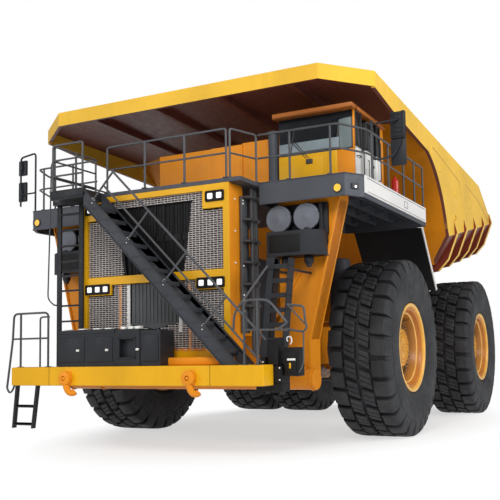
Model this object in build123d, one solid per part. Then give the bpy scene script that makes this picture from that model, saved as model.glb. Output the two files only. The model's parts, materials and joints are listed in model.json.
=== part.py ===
from build123d import *
import os
from math import cos, pi, radians, sin, tan

os.makedirs("parts", exist_ok=True)

# Mining dump truck, rigid two-axle, diesel-electric class. Millimetres.
# X points to the truck's left (the cab side), Y to the rear and Z up.
# Stations along Y are measured from the front axle while the pieces are shaped.
# The finished pieces are moved so that the origin lies on the ground, midway
# between the foremost and the rearmost point.

# Overall stations
WHEELBASE = 6350
NOSE_Y = -5000
TAIL_Y = WHEELBASE + 3760
MID_Y = (NOSE_Y + TAIL_Y) / 2

# Tyres and rims
TYRE_RADIUS = 1890
TYRE_WIDTH = 1345
TREAD_HALF = 610
BELLY_RADIUS = 1450
BEAD_RADIUS = 800
BEAD_HALF = 500
LUG_PITCHES = 28
LUG_DEPTH = 120
LUG_GROOVE_HALF = 78
LUG_START = 140
RIM_FLANGE_RADIUS = 952
FLANGE_THICK = 50
SEAT_GAP = 0.3
FRONT_TYRE_X = 3220
REAR_OUTER_X = 3290
REAR_INNER_X = 1645

# Front axle and steering
KINGPIN_X = 2150
STRUT_RADIUS = 255
STRUT_SIDES = 12
STRUT_LOW = 2450
BOSS_RADIUS = 60
PISTON_RADIUS = 190
SPINDLE_RADIUS = 330
STEER_ARM = 750
STEER_ARM_Z = 1290
TIE_ROD_RADIUS = 38
STEER_PIN_RADIUS = 45
PIN_CLEARANCE = 0.6
WORKING_GAP = 6

# Frame
RAIL_IN = 560
RAIL_OUT = 900
RAIL_FRONT_Y = -4450
RAIL_BOTTOM = 1525
NOSE_RAIL_TOP = 1595
PIVOT_Y = WHEELBASE + 1050
ARCH_Z = TYRE_RADIUS + 670
PIVOT_Z = ARCH_Z + 440
PIVOT_RADIUS = 90

# Rear axle
AXLE_TUBE_RADIUS = 500
AXLE_SIDES = 16
HOUSING_RADIUS = 620

# Hoist cylinders
HOIST_X = 1150
HOIST_FOOT = (PIVOT_Y - 3650, 1700)
HOIST_HEAD = (PIVOT_Y - 3500, 3800)
HOIST_PIN_RADIUS = 70
HOIST_DRIFT = 62
BARREL_RADIUS = 165
SLEEVE_RADIUS = 130
ROD_RADIUS = 98
HOIST_SIDES = 12

# Deck, cab and radiator
DECK_TOP = 5030
DECK_PLATE = 80
DECK_SKIRT_BOTTOM = DECK_TOP - 420
DECK_SIDE_X = 3920
DECK_FRONT_Y = -3400
DECK_REAR_Y = 900
DECK_INNER_X = 1950
RADIATOR_HALF = 1700
RADIATOR_FRONT_Y = -4100
RADIATOR_REAR_Y = -3600
RADIATOR_BOTTOM = 1760
FRAME_BAR = 130
MID_BEAM = (3210, 3370)
CAB_X = (1940, 3380)
CAB_Y = (-2500, -850)
CAB_ROOF_Z = DECK_TOP + 1440
CAB_FLOOR_Z = DECK_TOP + 60
CAB_SILL_Z = DECK_TOP + 670
CAB_HEAD_Z = CAB_ROOF_Z - 80
CAB_WALL = 70
DOOR_Y = (-1880, -1280)
DOOR_Z = (DECK_TOP + 100, CAB_ROOF_Z - 70)
DOOR_GAP = 8
DOOR_STILE = 90
DOOR_GLASS_Z = (CAB_SILL_Z, DOOR_Z[1] - DOOR_STILE)

# Bumper
BUMPER_HALF = 2770
BUMPER_FRONT_Y = -4880
BUMPER_Z = (1290, 1640)
TOW_LUG_X = 1290
TOW_BORE_RADIUS = 55

# Rails of bar stock
RAIL_BAR = 22
POST_BAR = 26
RAIL_HEIGHT = 930
RAIL_SIDES = 4

# Dump bed
BED_WALL = 80
BED_FLOOR = 120
BED_SLOPE = 0.1933
BED_TAPER = 0.0321
FLOOR_FRONT = (WHEELBASE - 2550, TYRE_RADIUS + 2160)
KNEE_OUT = 525
KNEE_UP = 750
LIP_Y = -3230
LIP_HALF = 3130
LIP_DROP = 300
CORNER_Y = -2600
CORNER_HALF = 4030


def block(x, y, z):
    """Box between two limits on each axis."""
    size = Box(x[1] - x[0], y[1] - y[0], z[1] - z[0])
    return Pos((x[0] + x[1]) / 2, (y[0] + y[1]) / 2, (z[0] + z[1]) / 2) * size


def side_plate(points, x):
    """Outline in the side view (y, z), spread between two x limits."""
    outline = make_face(Polyline(*[(x[0], py, pz) for py, pz in points], close=True))
    return extrude(outline, amount=x[1] - x[0], dir=(1, 0, 0))


def front_plate(points, y):
    """Outline in the front view (x, z), spread between two y limits."""
    outline = make_face(Polyline(*[(px, y[0], pz) for px, pz in points], close=True))
    return extrude(outline, amount=y[1] - y[0], dir=(0, 1, 0))


def plan_plate(points, z):
    """Outline in the plan view (x, y), spread between two z limits."""
    outline = make_face(Polyline(*[(px, py, z[0]) for px, py in points], close=True))
    return extrude(outline, amount=z[1] - z[0], dir=(0, 0, 1))


def bar(start, end, radius, sides=RAIL_SIDES):
    """Straight bar of a regular section between two points."""
    way = Vector(*end) - Vector(*start)
    section = Plane(origin=start, z_dir=way) * RegularPolygon(radius, sides)
    return extrude(section, amount=way.length, dir=way)


def cylinder(start, end, radius):
    """Round bar between two points."""
    way = Vector(*end) - Vector(*start)
    return extrude(Plane(origin=start, z_dir=way) * Circle(radius), amount=way.length, dir=way)


def other_side(shape):
    """The same piece on the truck's other side."""
    return mirror(shape, about=Plane.YZ)


def join(*shapes):
    """One fused piece."""
    whole = shapes[0]
    for shape in shapes[1:]:
        whole = whole + shape
    return whole


def facet_ring(profile, sides, closed=True):
    """Solid of flat facets about the X axis, with one facet level at the bottom.

    The profile lists (x, radius) at the facets' centre lines. A closed profile
    makes a ring, and an open one starts and ends on the axis.
    """
    turn = 2 * pi / sides
    stretch = 1 / cos(turn / 2)

    def corner(x, radius, k):
        angle = (k + 0.5) * turn
        return Vector(x, radius * stretch * sin(angle), -radius * stretch * cos(angle))

    faces = []
    count = len(profile)
    for i in range(count if closed else count - 1):
        (x0, r0), (x1, r1) = profile[i], profile[(i + 1) % count]
        for k in range(sides):
            corners = [corner(x0, r0, k)]
            if r0 > 0:
                corners.append(corner(x0, r0, k + 1))
            corners.append(corner(x1, r1, k + 1))
            if r1 > 0:
                corners.append(corner(x1, r1, k))
            faces.append(Face(Wire.make_polygon(corners, close=True)))
    return Solid(Shell(faces))


def keep(node, *shapes):
    """Move the finished solids to the row's origin and write them as one node."""
    solids = []
    for shape in shapes:
        for solid in (Pos(0, -MID_Y, 0) * shape).solids():
            solids.append(solid)
    whole = solids[0] if len(solids) == 1 else Compound(solids)
    export_step(whole, "parts/" + node + ".step")


# Wheels

def tyre():
    """Tyre centred on the origin: flat tread facets, bulged walls, shoulder lugs."""
    profile = [(-TREAD_HALF, TYRE_RADIUS), (TREAD_HALF, TYRE_RADIUS),
               (TYRE_WIDTH / 2, BELLY_RADIUS), (BEAD_HALF, BEAD_RADIUS),
               (-BEAD_HALF, BEAD_RADIUS), (-TYRE_WIDTH / 2, BELLY_RADIUS)]
    body = facet_ring(profile, LUG_PITCHES)
    turn = 360 / LUG_PITCHES
    corner_radius = TYRE_RADIUS / cos(radians(turn / 2))
    run = TYRE_WIDTH / 2 - LUG_START
    groove_plane = Plane(origin=(LUG_START, 0, corner_radius), x_dir=(0, 1, 0),
                         z_dir=(run, 0, -LUG_DEPTH))
    spread = 1.6
    half = LUG_GROOVE_HALF * spread
    rise = LUG_DEPTH * spread
    groove = extrude(groove_plane * Polygon((0, 0), (half, rise), (-half, rise), align=None),
                     amount=run * 1.5)
    cuts = []
    for k in range(LUG_PITCHES):
        cut = Rot(180 + turn * (k + 0.5), 0, 0) * groove
        cuts.append(cut.solid())
        cuts.append(other_side(cut).solid())
    return body.cut(*cuts)


def flange(side, x):
    """Profile of one rim flange from its outer edge down to the bead seat."""
    lean = (TYRE_WIDTH / 2 - BEAD_HALF) / (BELLY_RADIUS - BEAD_RADIUS)
    seat = BEAD_HALF + SEAT_GAP * 4
    top = seat + lean * (RIM_FLANGE_RADIUS - BEAD_RADIUS)
    return [(x + side * (top + FLANGE_THICK), RIM_FLANGE_RADIUS),
            (x + side * top, RIM_FLANGE_RADIUS),
            (x + side * seat, BEAD_RADIUS - SEAT_GAP)]


def rim_face(x):
    """Profile of the dish that shows: hub cap, disc, sloped barrel and outer edge."""
    return [(x + 160, 0), (x + 160, 400), (x + 70, 430), (x + 70, 700),
            (x + 520, BEAD_RADIUS - 25)]


def front_rim():
    """Left front rim: flanges, dished disc and hub cap, about the X axis."""
    x = FRONT_TYRE_X
    profile = rim_face(x) + flange(1, x) + flange(-1, x)[::-1]
    bore = SPINDLE_RADIUS + PIN_CLEARANCE
    profile += [(x - 520, BEAD_RADIUS - 35), (x - 60, 680), (x - 60, bore), (x + 20, bore),
                (x + 20, 0)]
    return facet_ring(profile, LUG_PITCHES, closed=False)


def rear_rim():
    """Left rear rim of the twin wheel: one hub barrel carries both tyres."""
    x = REAR_OUTER_X
    inner = REAR_INNER_X
    profile = rim_face(x) + flange(1, x) + flange(-1, inner)[::-1]
    bore = AXLE_TUBE_RADIUS + PIN_CLEARANCE
    profile += [(inner - 590, bore), (x - 40, bore), (x - 40, 0)]
    return facet_ring(profile, LUG_PITCHES, closed=False)


one_tyre = tyre()
front_left_rim = Pos(0, 0, TYRE_RADIUS) * front_rim()
rear_left_rim = Pos(0, WHEELBASE, TYRE_RADIUS) * rear_rim()
front_left_tyre = Pos(FRONT_TYRE_X, 0, TYRE_RADIUS) * one_tyre
rear_left_tyres = [Pos(x, WHEELBASE, TYRE_RADIUS) * one_tyre for x in (REAR_INNER_X, REAR_OUTER_X)]
keep("front_left_tyre", front_left_tyre)
keep("front_right_tyre", other_side(front_left_tyre))
keep("front_left_rim", front_left_rim)
keep("front_right_rim", other_side(front_left_rim))
keep("rear_left_tyres", *rear_left_tyres)
keep("rear_right_tyres", *[other_side(piece) for piece in rear_left_tyres])
keep("rear_left_rim", rear_left_rim)
keep("rear_right_rim", other_side(rear_left_rim))


# Main frame

def main_frame():
    """Two box rails with cross members, webs for the struts and the bed's pivot stubs."""
    step = RADIATOR_FRONT_Y + 5
    outline = [(RAIL_FRONT_Y, RAIL_BOTTOM), (PIVOT_Y - 3350, RAIL_BOTTOM), (PIVOT_Y - 2500, 2150),
               (PIVOT_Y - 2100, ARCH_Z), (PIVOT_Y + 200, ARCH_Z), (PIVOT_Y + 200, ARCH_Z + 590),
               (PIVOT_Y, ARCH_Z + 690), (PIVOT_Y - 2100, ARCH_Z + 590), (PIVOT_Y - 4100, 2500),
               (-3500, 2250), (-3560, RADIATOR_BOTTOM), (step, RADIATOR_BOTTOM),
               (step, NOSE_RAIL_TOP), (RAIL_FRONT_Y, NOSE_RAIL_TOP)]
    rail = side_plate(outline, (RAIL_IN, RAIL_OUT))
    stub = cylinder((RAIL_IN, PIVOT_Y, PIVOT_Z), (395, PIVOT_Y, PIVOT_Z), PIVOT_RADIUS)
    bracket_web = side_plate([(-200, 2100), (200, 2100), (200, 3500), (-200, 3500)],
                             (RAIL_IN, RAIL_OUT))
    half = join(rail, stub, bracket_web)
    whole = join(half, other_side(half))
    cross = [((-4300, -4150), (1530, NOSE_RAIL_TOP - 5)), ((-3300, -3000), (1530, 1758)),
             ((-700, -400), (1530, 1758)), ((1500, 1750), (1600, 2200)),
             ((PIVOT_Y - 4400, PIVOT_Y - 4150), (1700, 2350)),
             ((PIVOT_Y - 3100, PIVOT_Y - 2850), (2150, 2700)),
             ((PIVOT_Y - 900, PIVOT_Y - 700), (ARCH_Z + 90, ARCH_Z + 540))]
    for y, z in cross:
        whole = join(whole, block((-RAIL_IN - 5, RAIL_IN + 5), y, z))
    return whole


strut_bracket = block((RAIL_OUT + SEAT_GAP, KINGPIN_X), (-200, 200), (2500, 3500))
strut_bracket = strut_bracket - bar((KINGPIN_X, 0, 2400), (KINGPIN_X, 0, 3600),
                                    STRUT_RADIUS + SEAT_GAP, STRUT_SIDES)
hoist_pin = bar((RAIL_OUT + SEAT_GAP, *HOIST_FOOT), (HOIST_X + 140, *HOIST_FOOT),
                HOIST_PIN_RADIUS, HOIST_SIDES)
keep("main_frame", main_frame(), strut_bracket, other_side(strut_bracket),
     hoist_pin, other_side(hoist_pin))
keep("engine_block", block((-RAIL_IN + 15, RAIL_IN - 15), (-3450, -250), (1758, 3950)))

AXLE_END = REAR_OUTER_X - 140
STRUT_Y = WHEELBASE + 840
boss_end = AXLE_END + 60
axle = join(bar((-930, WHEELBASE, TYRE_RADIUS), (930, WHEELBASE, TYRE_RADIUS),
                HOUSING_RADIUS, AXLE_SIDES),
            bar((-AXLE_END, WHEELBASE, TYRE_RADIUS), (AXLE_END, WHEELBASE, TYRE_RADIUS),
                AXLE_TUBE_RADIUS, AXLE_SIDES),
            cylinder((-boss_end, WHEELBASE, TYRE_RADIUS), (boss_end, WHEELBASE, TYRE_RADIUS),
                     BOSS_RADIUS),
            block((-500, 500), (WHEELBASE - 1800, WHEELBASE - 350),
                  (TYRE_RADIUS - 240, TYRE_RADIUS + 210)),
            block((-860, -600), (WHEELBASE + 350, WHEELBASE + 1000),
                  (TYRE_RADIUS - 140, TYRE_RADIUS + 110)),
            block((600, 860), (WHEELBASE + 350, WHEELBASE + 1000),
                  (TYRE_RADIUS - 140, TYRE_RADIUS + 110)))
keep("rear_axle_housing", axle)
strut_step = ARCH_Z - 260
rear_strut = join(bar((730, STRUT_Y, TYRE_RADIUS + 110), (730, STRUT_Y, strut_step), 130, 12),
                  bar((730, STRUT_Y, strut_step), (730, STRUT_Y, ARCH_Z), 100, 12))

# Front struts and steering

def front_strut():
    """Left strut tube, which the knuckle's piston turns and slides in."""
    tube = bar((KINGPIN_X, 0, STRUT_LOW), (KINGPIN_X, 0, 3900), STRUT_RADIUS, STRUT_SIDES)
    bore = (PISTON_RADIUS + PIN_CLEARANCE) / cos(pi / STRUT_SIDES)
    return tube - bar((KINGPIN_X, 0, STRUT_LOW - 50), (KINGPIN_X, 0, 3500), bore, STRUT_SIDES)


def knuckle():
    """Left knuckle: piston with its collar, wheel spindle, and steering arm with its pin."""
    piston = join(bar((KINGPIN_X, 0, 1200), (KINGPIN_X, 0, 3400), PISTON_RADIUS, STRUT_SIDES),
                  bar((KINGPIN_X, 0, STRUT_LOW - 60), (KINGPIN_X, 0, STRUT_LOW - SEAT_GAP),
                      STRUT_RADIUS - 10, STRUT_SIDES),
                  cylinder((KINGPIN_X, 0, 1160), (KINGPIN_X, 0, 1205), BOSS_RADIUS))
    spindle = join(bar((KINGPIN_X - 200, 0, TYRE_RADIUS), (FRONT_TYRE_X, 0, TYRE_RADIUS),
                       SPINDLE_RADIUS, AXLE_SIDES),
                   cylinder((FRONT_TYRE_X - 5, 0, TYRE_RADIUS), (FRONT_TYRE_X + 12, 0, TYRE_RADIUS),
                            BOSS_RADIUS))
    arm = block((KINGPIN_X - 80, KINGPIN_X + 80), (0, STEER_ARM + 90),
                (STEER_ARM_Z - 60, STEER_ARM_Z + 60))
    pin = cylinder((KINGPIN_X, STEER_ARM, STEER_ARM_Z), (KINGPIN_X, STEER_ARM, STEER_ARM_Z - 180),
                   STEER_PIN_RADIUS)
    return join(piston, spindle, arm, pin)


def tie_rod():
    """Track rod between the two steering arms' pins."""
    z = STEER_ARM_Z - 60.5 - STEER_PIN_RADIUS
    rod = bar((-KINGPIN_X, STEER_ARM, z), (KINGPIN_X, STEER_ARM, z), TIE_ROD_RADIUS, 8)
    low, high = z - STEER_PIN_RADIUS, z + STEER_PIN_RADIUS
    for x in (-KINGPIN_X, KINGPIN_X):
        rod = rod + bar((x, STEER_ARM, low), (x, STEER_ARM, high), STEER_PIN_RADIUS * 2, 8)
    for x in (-KINGPIN_X, KINGPIN_X):
        rod = rod - cylinder((x, STEER_ARM, low - 5), (x, STEER_ARM, high + 5),
                             STEER_PIN_RADIUS + PIN_CLEARANCE)
    return rod


keep("suspension_struts", front_strut(), other_side(front_strut()),
     rear_strut, other_side(rear_strut))
keep("left_knuckle", knuckle())
keep("right_knuckle", other_side(knuckle()))
keep("tie_rod", tie_rod())

# Hoist cylinders
HOIST_WAY = Vector(0, HOIST_HEAD[0] - HOIST_FOOT[0], HOIST_HEAD[1] - HOIST_FOOT[1])
HOIST_LENGTH = HOIST_WAY.length
HOIST_EYE = 150
HOIST_HALF = 75


def on_hoist(s):
    """Point on the left hoist's centre line, at distance s from its foot pin."""
    return Vector(HOIST_X, *HOIST_FOOT) + HOIST_WAY.normalized() * s


def across_hoist(s, radius, half=HOIST_HALF):
    """Round hole across the hoist, centred on its line."""
    centre = on_hoist(s)
    side = Vector(half, 0, 0)
    return cylinder(centre - side, centre + side, radius)


def hoist_eye(s, radius):
    """Flat-sided eye across the hoist, before its hole is bored."""
    centre = on_hoist(s)
    side = Vector(HOIST_HALF, 0, 0)
    return bar(centre - side, centre + side, radius, HOIST_SIDES)


def hoist_run(start, end, radius):
    """Straight length of the hoist between two distances from its foot pin."""
    return bar(on_hoist(start), on_hoist(end), radius, HOIST_SIDES)


def hoist_barrel():
    """Outer tube with the foot eye."""
    top = HOIST_LENGTH - 275
    body = join(hoist_run(90, top, BARREL_RADIUS), hoist_eye(0, HOIST_EYE))
    body = body - across_hoist(0, HOIST_PIN_RADIUS + PIN_CLEARANCE, HOIST_HALF + 5)
    return body - hoist_run(220, top + 5, SLEEVE_RADIUS + PIN_CLEARANCE)


def hoist_sleeve():
    """Middle stage, a tube between barrel and rod."""
    top = HOIST_LENGTH - 225
    return hoist_run(240, top, SLEEVE_RADIUS) - hoist_run(230, top + 5, ROD_RADIUS + PIN_CLEARANCE)


def hoist_rod():
    """Rod with its eye, whose bore leaves room for the drift from the bed's pin."""
    eye = HOIST_PIN_RADIUS + HOIST_DRIFT
    body = join(hoist_run(260, HOIST_LENGTH - eye - 20, ROD_RADIUS),
                hoist_eye(HOIST_LENGTH, eye + 45))
    return body - across_hoist(HOIST_LENGTH, eye, HOIST_HALF + 5)


for stage, piece in (("barrel", hoist_barrel()), ("sleeve", hoist_sleeve()), ("rod", hoist_rod())):
    keep("left_hoist_" + stage, piece)
    keep("right_hoist_" + stage, other_side(piece))


# Tanks between the wheels

def side_tank():
    """Left tank, and the two brackets that hold it to the frame rail."""
    front, rear = TYRE_RADIUS + 870, WHEELBASE - TYRE_RADIUS - 170
    inner = 1420
    tank = side_plate([(front, 1650), (front + 140, 1500), (rear - 140, 1500), (rear, 1650),
                       (rear, 2700), (rear - 140, 2850), (front + 140, 2850), (front, 2700)],
                      (inner, 2600))
    brackets = [block((RAIL_OUT, inner - SEAT_GAP), (front + 40, front + 190), z)
                for z in ((1750, 1950), (2100, 2300))]
    return [tank, *brackets]


keep("side_tanks", *side_tank(), *[other_side(piece) for piece in side_tank()])


# Front structure

def collar_plates():
    """Tapered plates that carry the deck, with the cross tube at their foot."""
    outline = [(RAIL_OUT + 1, 1400), (2790, 1400), (2790, 2060), (3430, 4630),
               (3480, DECK_TOP - DECK_PLATE), (2150, DECK_TOP - DECK_PLATE), (2150, 2450),
               (1800, 2150), (RAIL_OUT + 1, 2150)]
    plate = front_plate(outline, (-3000, -2650))
    tube = bar((-2900, -3020, 1330), (2900, -3020, 1330), 190, 12)
    return join(plate, tube, other_side(plate))


def radiator_frame():
    """Box frame of the radiator with its beams, sill and lamp corners."""
    top = DECK_TOP - DECK_PLATE
    outer = block((-RADIATOR_HALF, RADIATOR_HALF), (RADIATOR_FRONT_Y, RADIATOR_REAR_Y),
                  (RADIATOR_BOTTOM, top))
    inner_x = RADIATOR_HALF - FRAME_BAR
    rows = [(RADIATOR_BOTTOM + FRAME_BAR, MID_BEAM[0]), (MID_BEAM[1], top - FRAME_BAR + 20)]
    for z in rows:
        outer = outer - block((-inner_x, inner_x), (RADIATOR_FRONT_Y - 5, RADIATOR_REAR_Y + 5), z)
    corners = [((1130, inner_x + 5), (4500, top - FRAME_BAR + 25)),
               ((970, inner_x + 5), (3010, MID_BEAM[0] + 5))]
    for x, z in corners:
        panel = block(x, (RADIATOR_FRONT_Y, RADIATOR_FRONT_Y + 50), z)
        outer = join(outer, panel, other_side(panel))
    return outer


def radiator_core():
    """Two cooler cores that fill the frame's openings behind the guard."""
    inner_x = RADIATOR_HALF - FRAME_BAR
    top = DECK_TOP - DECK_PLATE - FRAME_BAR + 20
    rows = [(RADIATOR_BOTTOM + FRAME_BAR, MID_BEAM[0]), (MID_BEAM[1], top)]
    return [block((-inner_x, inner_x), (RADIATOR_FRONT_Y + 120, RADIATOR_REAR_Y), z) for z in rows]


def guard_grille():
    """Guard plate for each opening, with rows of windows that leave slats and posts."""
    inner_x = RADIATOR_HALF - FRAME_BAR
    rows = [(RADIATOR_BOTTOM + FRAME_BAR, 3010), (MID_BEAM[1], 4500)]
    across, up = 3, 4
    post, slat = 50, 40
    y = (RADIATOR_FRONT_Y + 60, RADIATOR_FRONT_Y + 115)
    plates = []
    for low, high in rows:
        wide = (2 * inner_x - post) / across
        tall = (high - low - slat) / up
        holes = []
        for i in range(across):
            for k in range(up):
                x0 = -inner_x + post + i * wide
                z0 = low + slat + k * tall
                holes.append(block((x0, x0 + wide - post), (y[0] - 5, y[1] + 5),
                                   (z0, z0 + tall - slat)))
        plates.append(block((-inner_x, inner_x), y, (low, high)).cut(*holes))
    return plates


def grille_lamps():
    """Square lamps on the four lamp corners: two above and three below, each side."""
    lamps = []
    rows = [(4720, (1215, 1475)), (3130, (1105, 1300, 1495))]
    for z, places in rows:
        for x in places:
            lens = block((x - 70, x + 70), (RADIATOR_FRONT_Y - 30, RADIATOR_FRONT_Y), (z - 70, z + 70))
            lamps += [lens, other_side(lens)]
    return lamps


keep("front_collar", collar_plates())
keep("radiator_frame", radiator_frame())
keep("radiator_core", *radiator_core())
keep("guard_grille", *guard_grille())
keep("grille_lamps", *grille_lamps())


# Bumper and what stands on it

def bumper():
    """Front beam with bevelled ends and the walkway behind it."""
    low, high = BUMPER_Z
    outline = [(-BUMPER_HALF, BUMPER_FRONT_Y), (BUMPER_HALF, BUMPER_FRONT_Y),
               (BUMPER_HALF, RAIL_FRONT_Y - 60), (BUMPER_HALF - 60, RAIL_FRONT_Y),
               (-BUMPER_HALF + 60, RAIL_FRONT_Y), (-BUMPER_HALF, RAIL_FRONT_Y - 60)]
    beam = plan_plate(outline, (low, high))
    walkway = block((-2080, 2230), (RAIL_FRONT_Y - 5, RADIATOR_FRONT_Y), (high - 40, high))
    return join(beam, walkway)


def tow_lug():
    """Left towing lug: a bored hook that wraps the bumper's lower front edge."""
    low, high = BUMPER_Z
    hook = side_plate([(BUMPER_FRONT_Y, high - 60), (NOSE_Y, high - 120), (NOSE_Y, 1100),
                       (-4930, 1000), (-4780, 1000), (-4700, 1130), (-4700, low),
                       (BUMPER_FRONT_Y, low)], (TOW_LUG_X - 55, TOW_LUG_X + 55))
    return hook - cylinder((TOW_LUG_X - 60, -4870, 1140), (TOW_LUG_X + 60, -4870, 1140),
                           TOW_BORE_RADIUS)


def stair():
    """Diagonal stair across the grille: two stringers and twelve treads."""
    foot, head = (2190, 1880), -1150
    low = BUMPER_Z[1]
    rise = 1.0125
    outline = [(foot[0], low), (foot[1], low), (head, low + (foot[1] - head) * rise),
               (head, low + (foot[0] - head) * rise - 20)]
    pieces = [front_plate(outline, (-4700, -4660)), front_plate(outline, (-4180, -4140))]
    steps = 12
    mid = (foot[0] + foot[1]) / 2
    for k in range(1, steps + 1):
        x = mid - k * (mid - head) / (steps + 1)
        z = low + k * (mid - head) * rise / (steps + 1)
        pieces.append(block((x - 125, x + 115), (-4670, -4170), (z - 20, z + 20)))
    return join(*pieces)


def stair_rails():
    """Two rails on each side of the stair, on slanted supports."""
    rails = []
    rise = 1.0125
    low = BUMPER_Z[1]
    lean = (630, 800)
    for y in (-4681, -4159):
        bars = []
        feet = [(x, low + (2035 - x) * rise) for x in (1650, 900, 150, -600)]
        for x, z in feet:
            bars.append(bar((x + 40, y, z + 90), (x + lean[0], y, z + lean[1]), POST_BAR))
        for share in (0.55, 1.0):
            start = (feet[0][0] + lean[0] * share, y, feet[0][1] + lean[1] * share)
            end = (feet[-1][0] + lean[0] * share, y, feet[-1][1] + lean[1] * share)
            bars.append(bar(start, end, RAIL_BAR))
        top = (feet[0][0] + lean[0], feet[0][1] + lean[1])
        bars.append(bar((top[0], y, low), (top[0], y, top[1] + 5), POST_BAR))
        rails.append(join(*bars) - stair())
    return rails


def platform():
    """Landing at the stair's head, and the ladder that carries it from the bumper."""
    under = DECK_TOP - 180
    landing = block((-1940, -1150), (-4720, RADIATOR_FRONT_Y), (under, DECK_TOP))
    pieces = []
    for x in (-1900, -1450):
        pieces.append(block((x - 30, x + 30), (-4190, -4130), (BUMPER_Z[1], under - SEAT_GAP)))
    rungs = 9
    for k in range(rungs):
        z = 1900 + k * 340
        pieces.append(block((-1900, -1450), (-4180, -4140), (z - 20, z + 20)))
    return [landing, join(*pieces)]


def rail_panel(start, end, foot, top, posts, mids=1):
    """Flat railing between two plan points: posts, a top rail and mid rails."""
    bars = []
    for k in range(posts):
        share = k / (posts - 1)
        x = start[0] + (end[0] - start[0]) * share
        y = start[1] + (end[1] - start[1]) * share
        bars.append(bar((x, y, foot), (x, y, top), POST_BAR))
    for k in range(mids + 1):
        z = top - k * (top - foot) / (mids + 1)
        bars.append(bar((*start, z), (*end, z), RAIL_BAR))
    return join(*bars)


def low_steps():
    """Hanging steps under the bumper's right end."""
    pieces = []
    outer, inner = -BUMPER_HALF + 110, -BUMPER_HALF + 610
    for x in (outer, inner):
        pieces.append(front_plate([(x - 22, BUMPER_Z[0]), (x + 22, BUMPER_Z[0]), (x - 58, 430),
                                   (x - 102, 430)], (-4757, -4713)))
    for k in range(3):
        z = 480 + k * 270
        drift = 80 * (BUMPER_Z[0] - z) / (BUMPER_Z[0] - 430)
        pieces.append(block((outer - drift, inner - drift), (-4790, -4680), (z - 20, z + 20)))
    return join(*pieces)


def boarding_ladder():
    """Steep steps at the bumper's left end, with the box at their foot."""
    stile = [(-4400, 1130), (-4180, 1130), (-3700, 3500), (-3920, 3500)]
    left, right = BUMPER_HALF + 170, BUMPER_HALF - 430
    plate = 35
    pieces = [side_plate(stile, (right, right + plate)), side_plate(stile, (left - plate, left))]
    inside = (right + plate - 5, left - plate + 5)
    treads = 7
    for k in range(treads):
        z = 1800 + k * 260
        y = -4400 + (z - 1130) * 220 / 1080
        pieces.append(block(inside, (y - 10, y + 200), (z - 20, z + 20)))
    pieces.append(block(inside, (RAIL_FRONT_Y, -4150), (1180, 1620)))
    for x in (right + plate / 2, left - plate / 2):
        pieces.append(bar((x, -3790, 3300), (x, -3000, 3300), RAIL_BAR))
    return join(*pieces)


keep("bumper", bumper())
keep("tow_lugs", tow_lug(), other_side(tow_lug()))
keep("front_stair", stair())
keep("stair_rails", *stair_rails())
keep("right_platform", *platform())
keep("low_steps", low_steps())
keep("boarding_ladder", boarding_ladder())

BOX_TOP = 2250
BOX_Y = (-4760, -4310)
LID_HINGE = (BOX_Y[1] + 22, BOX_TOP + 35)
LID_PIN = 14


def equipment_box():
    """Three joined cabinets on the bumper, with the lid's hinge brackets behind."""
    floor = BUMPER_Z[1]
    front, rear = BOX_Y
    middle = block((-345, 200), BOX_Y, (floor, BOX_TOP + 60))
    middle = middle - block((-240, 90), (front - 5, front + 100), (1800, 2130))
    pieces = [block((-1700, -350), BOX_Y, (floor, BOX_TOP)), middle,
              block((-355, -340), (front + 10, rear - 10), (floor, BOX_TOP)),
              block((195, 640), (front + 20, rear - 10), (floor, BOX_TOP + 30))]
    y, z = LID_HINGE
    for x in (-1449, -749):
        pieces.append(block((x, x + 148), (rear - 2, y + LID_PIN), (BOX_TOP - 60, BOX_TOP - 20)))
        pieces.append(block((x, x + 148), (y - LID_PIN, y + LID_PIN), (BOX_TOP - 25, z)))
        pieces.append(cylinder((x, y, z), (x + 148, y, z), LID_PIN))
    return join(*pieces)


def box_lid():
    """Lid of the largest cabinet, with the hinge knuckles on its rear edge."""
    lid = block((-1700, -356), (BOX_Y[0] - 10, BOX_Y[1]), (BOX_TOP + 0.5, BOX_TOP + 70))
    y, z = LID_HINGE
    for x in (-1600, -600):
        lid = lid + cylinder((x, y, z), (x + 150, y, z), LID_PIN)
        lid = lid + block((x, x + 150), (BOX_Y[1] - 2, y), (z - LID_PIN + 4, z + LID_PIN - 4))
    return lid


keep("equipment_box", equipment_box())
keep("box_lid", box_lid())


# Deck

def deck_tray():
    """Left deck: floor plate with a skirt all round."""
    outline = [(DECK_INNER_X, DECK_FRONT_Y), (3690, DECK_FRONT_Y), (DECK_SIDE_X, -3040),
               (DECK_SIDE_X, DECK_REAR_Y), (DECK_INNER_X, DECK_REAR_Y)]
    inner = [(DECK_INNER_X + 40, DECK_FRONT_Y + 40), (3668, DECK_FRONT_Y + 40),
             (DECK_SIDE_X - 40, -3028), (DECK_SIDE_X - 40, DECK_REAR_Y - 40),
             (DECK_INNER_X + 40, DECK_REAR_Y - 40)]
    tray = plan_plate(outline, (DECK_SKIRT_BOTTOM, DECK_TOP))
    return tray - plan_plate(inner, (DECK_SKIRT_BOTTOM - 5, DECK_TOP - DECK_PLATE))


keep("side_decks", deck_tray(), other_side(deck_tray()))
keep("deck_centre", block((-DECK_INNER_X, DECK_INNER_X), (RADIATOR_FRONT_Y, DECK_REAR_Y),
                          (DECK_TOP - DECK_PLATE, DECK_TOP)))
panel = block((DECK_SIDE_X, DECK_SIDE_X + 15), (-3030, DECK_REAR_Y - 20),
              (DECK_TOP - 330, DECK_TOP))
keep("deck_side_panels", panel, other_side(panel))
guard = side_plate([(DECK_REAR_Y, 4620), (DECK_REAR_Y, 4720), (1520, 4760), (2640, 3310),
                    (2600, 3290), (1500, 4700)], (1950, 3640))
keep("mudguards", guard, other_side(guard))


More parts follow.
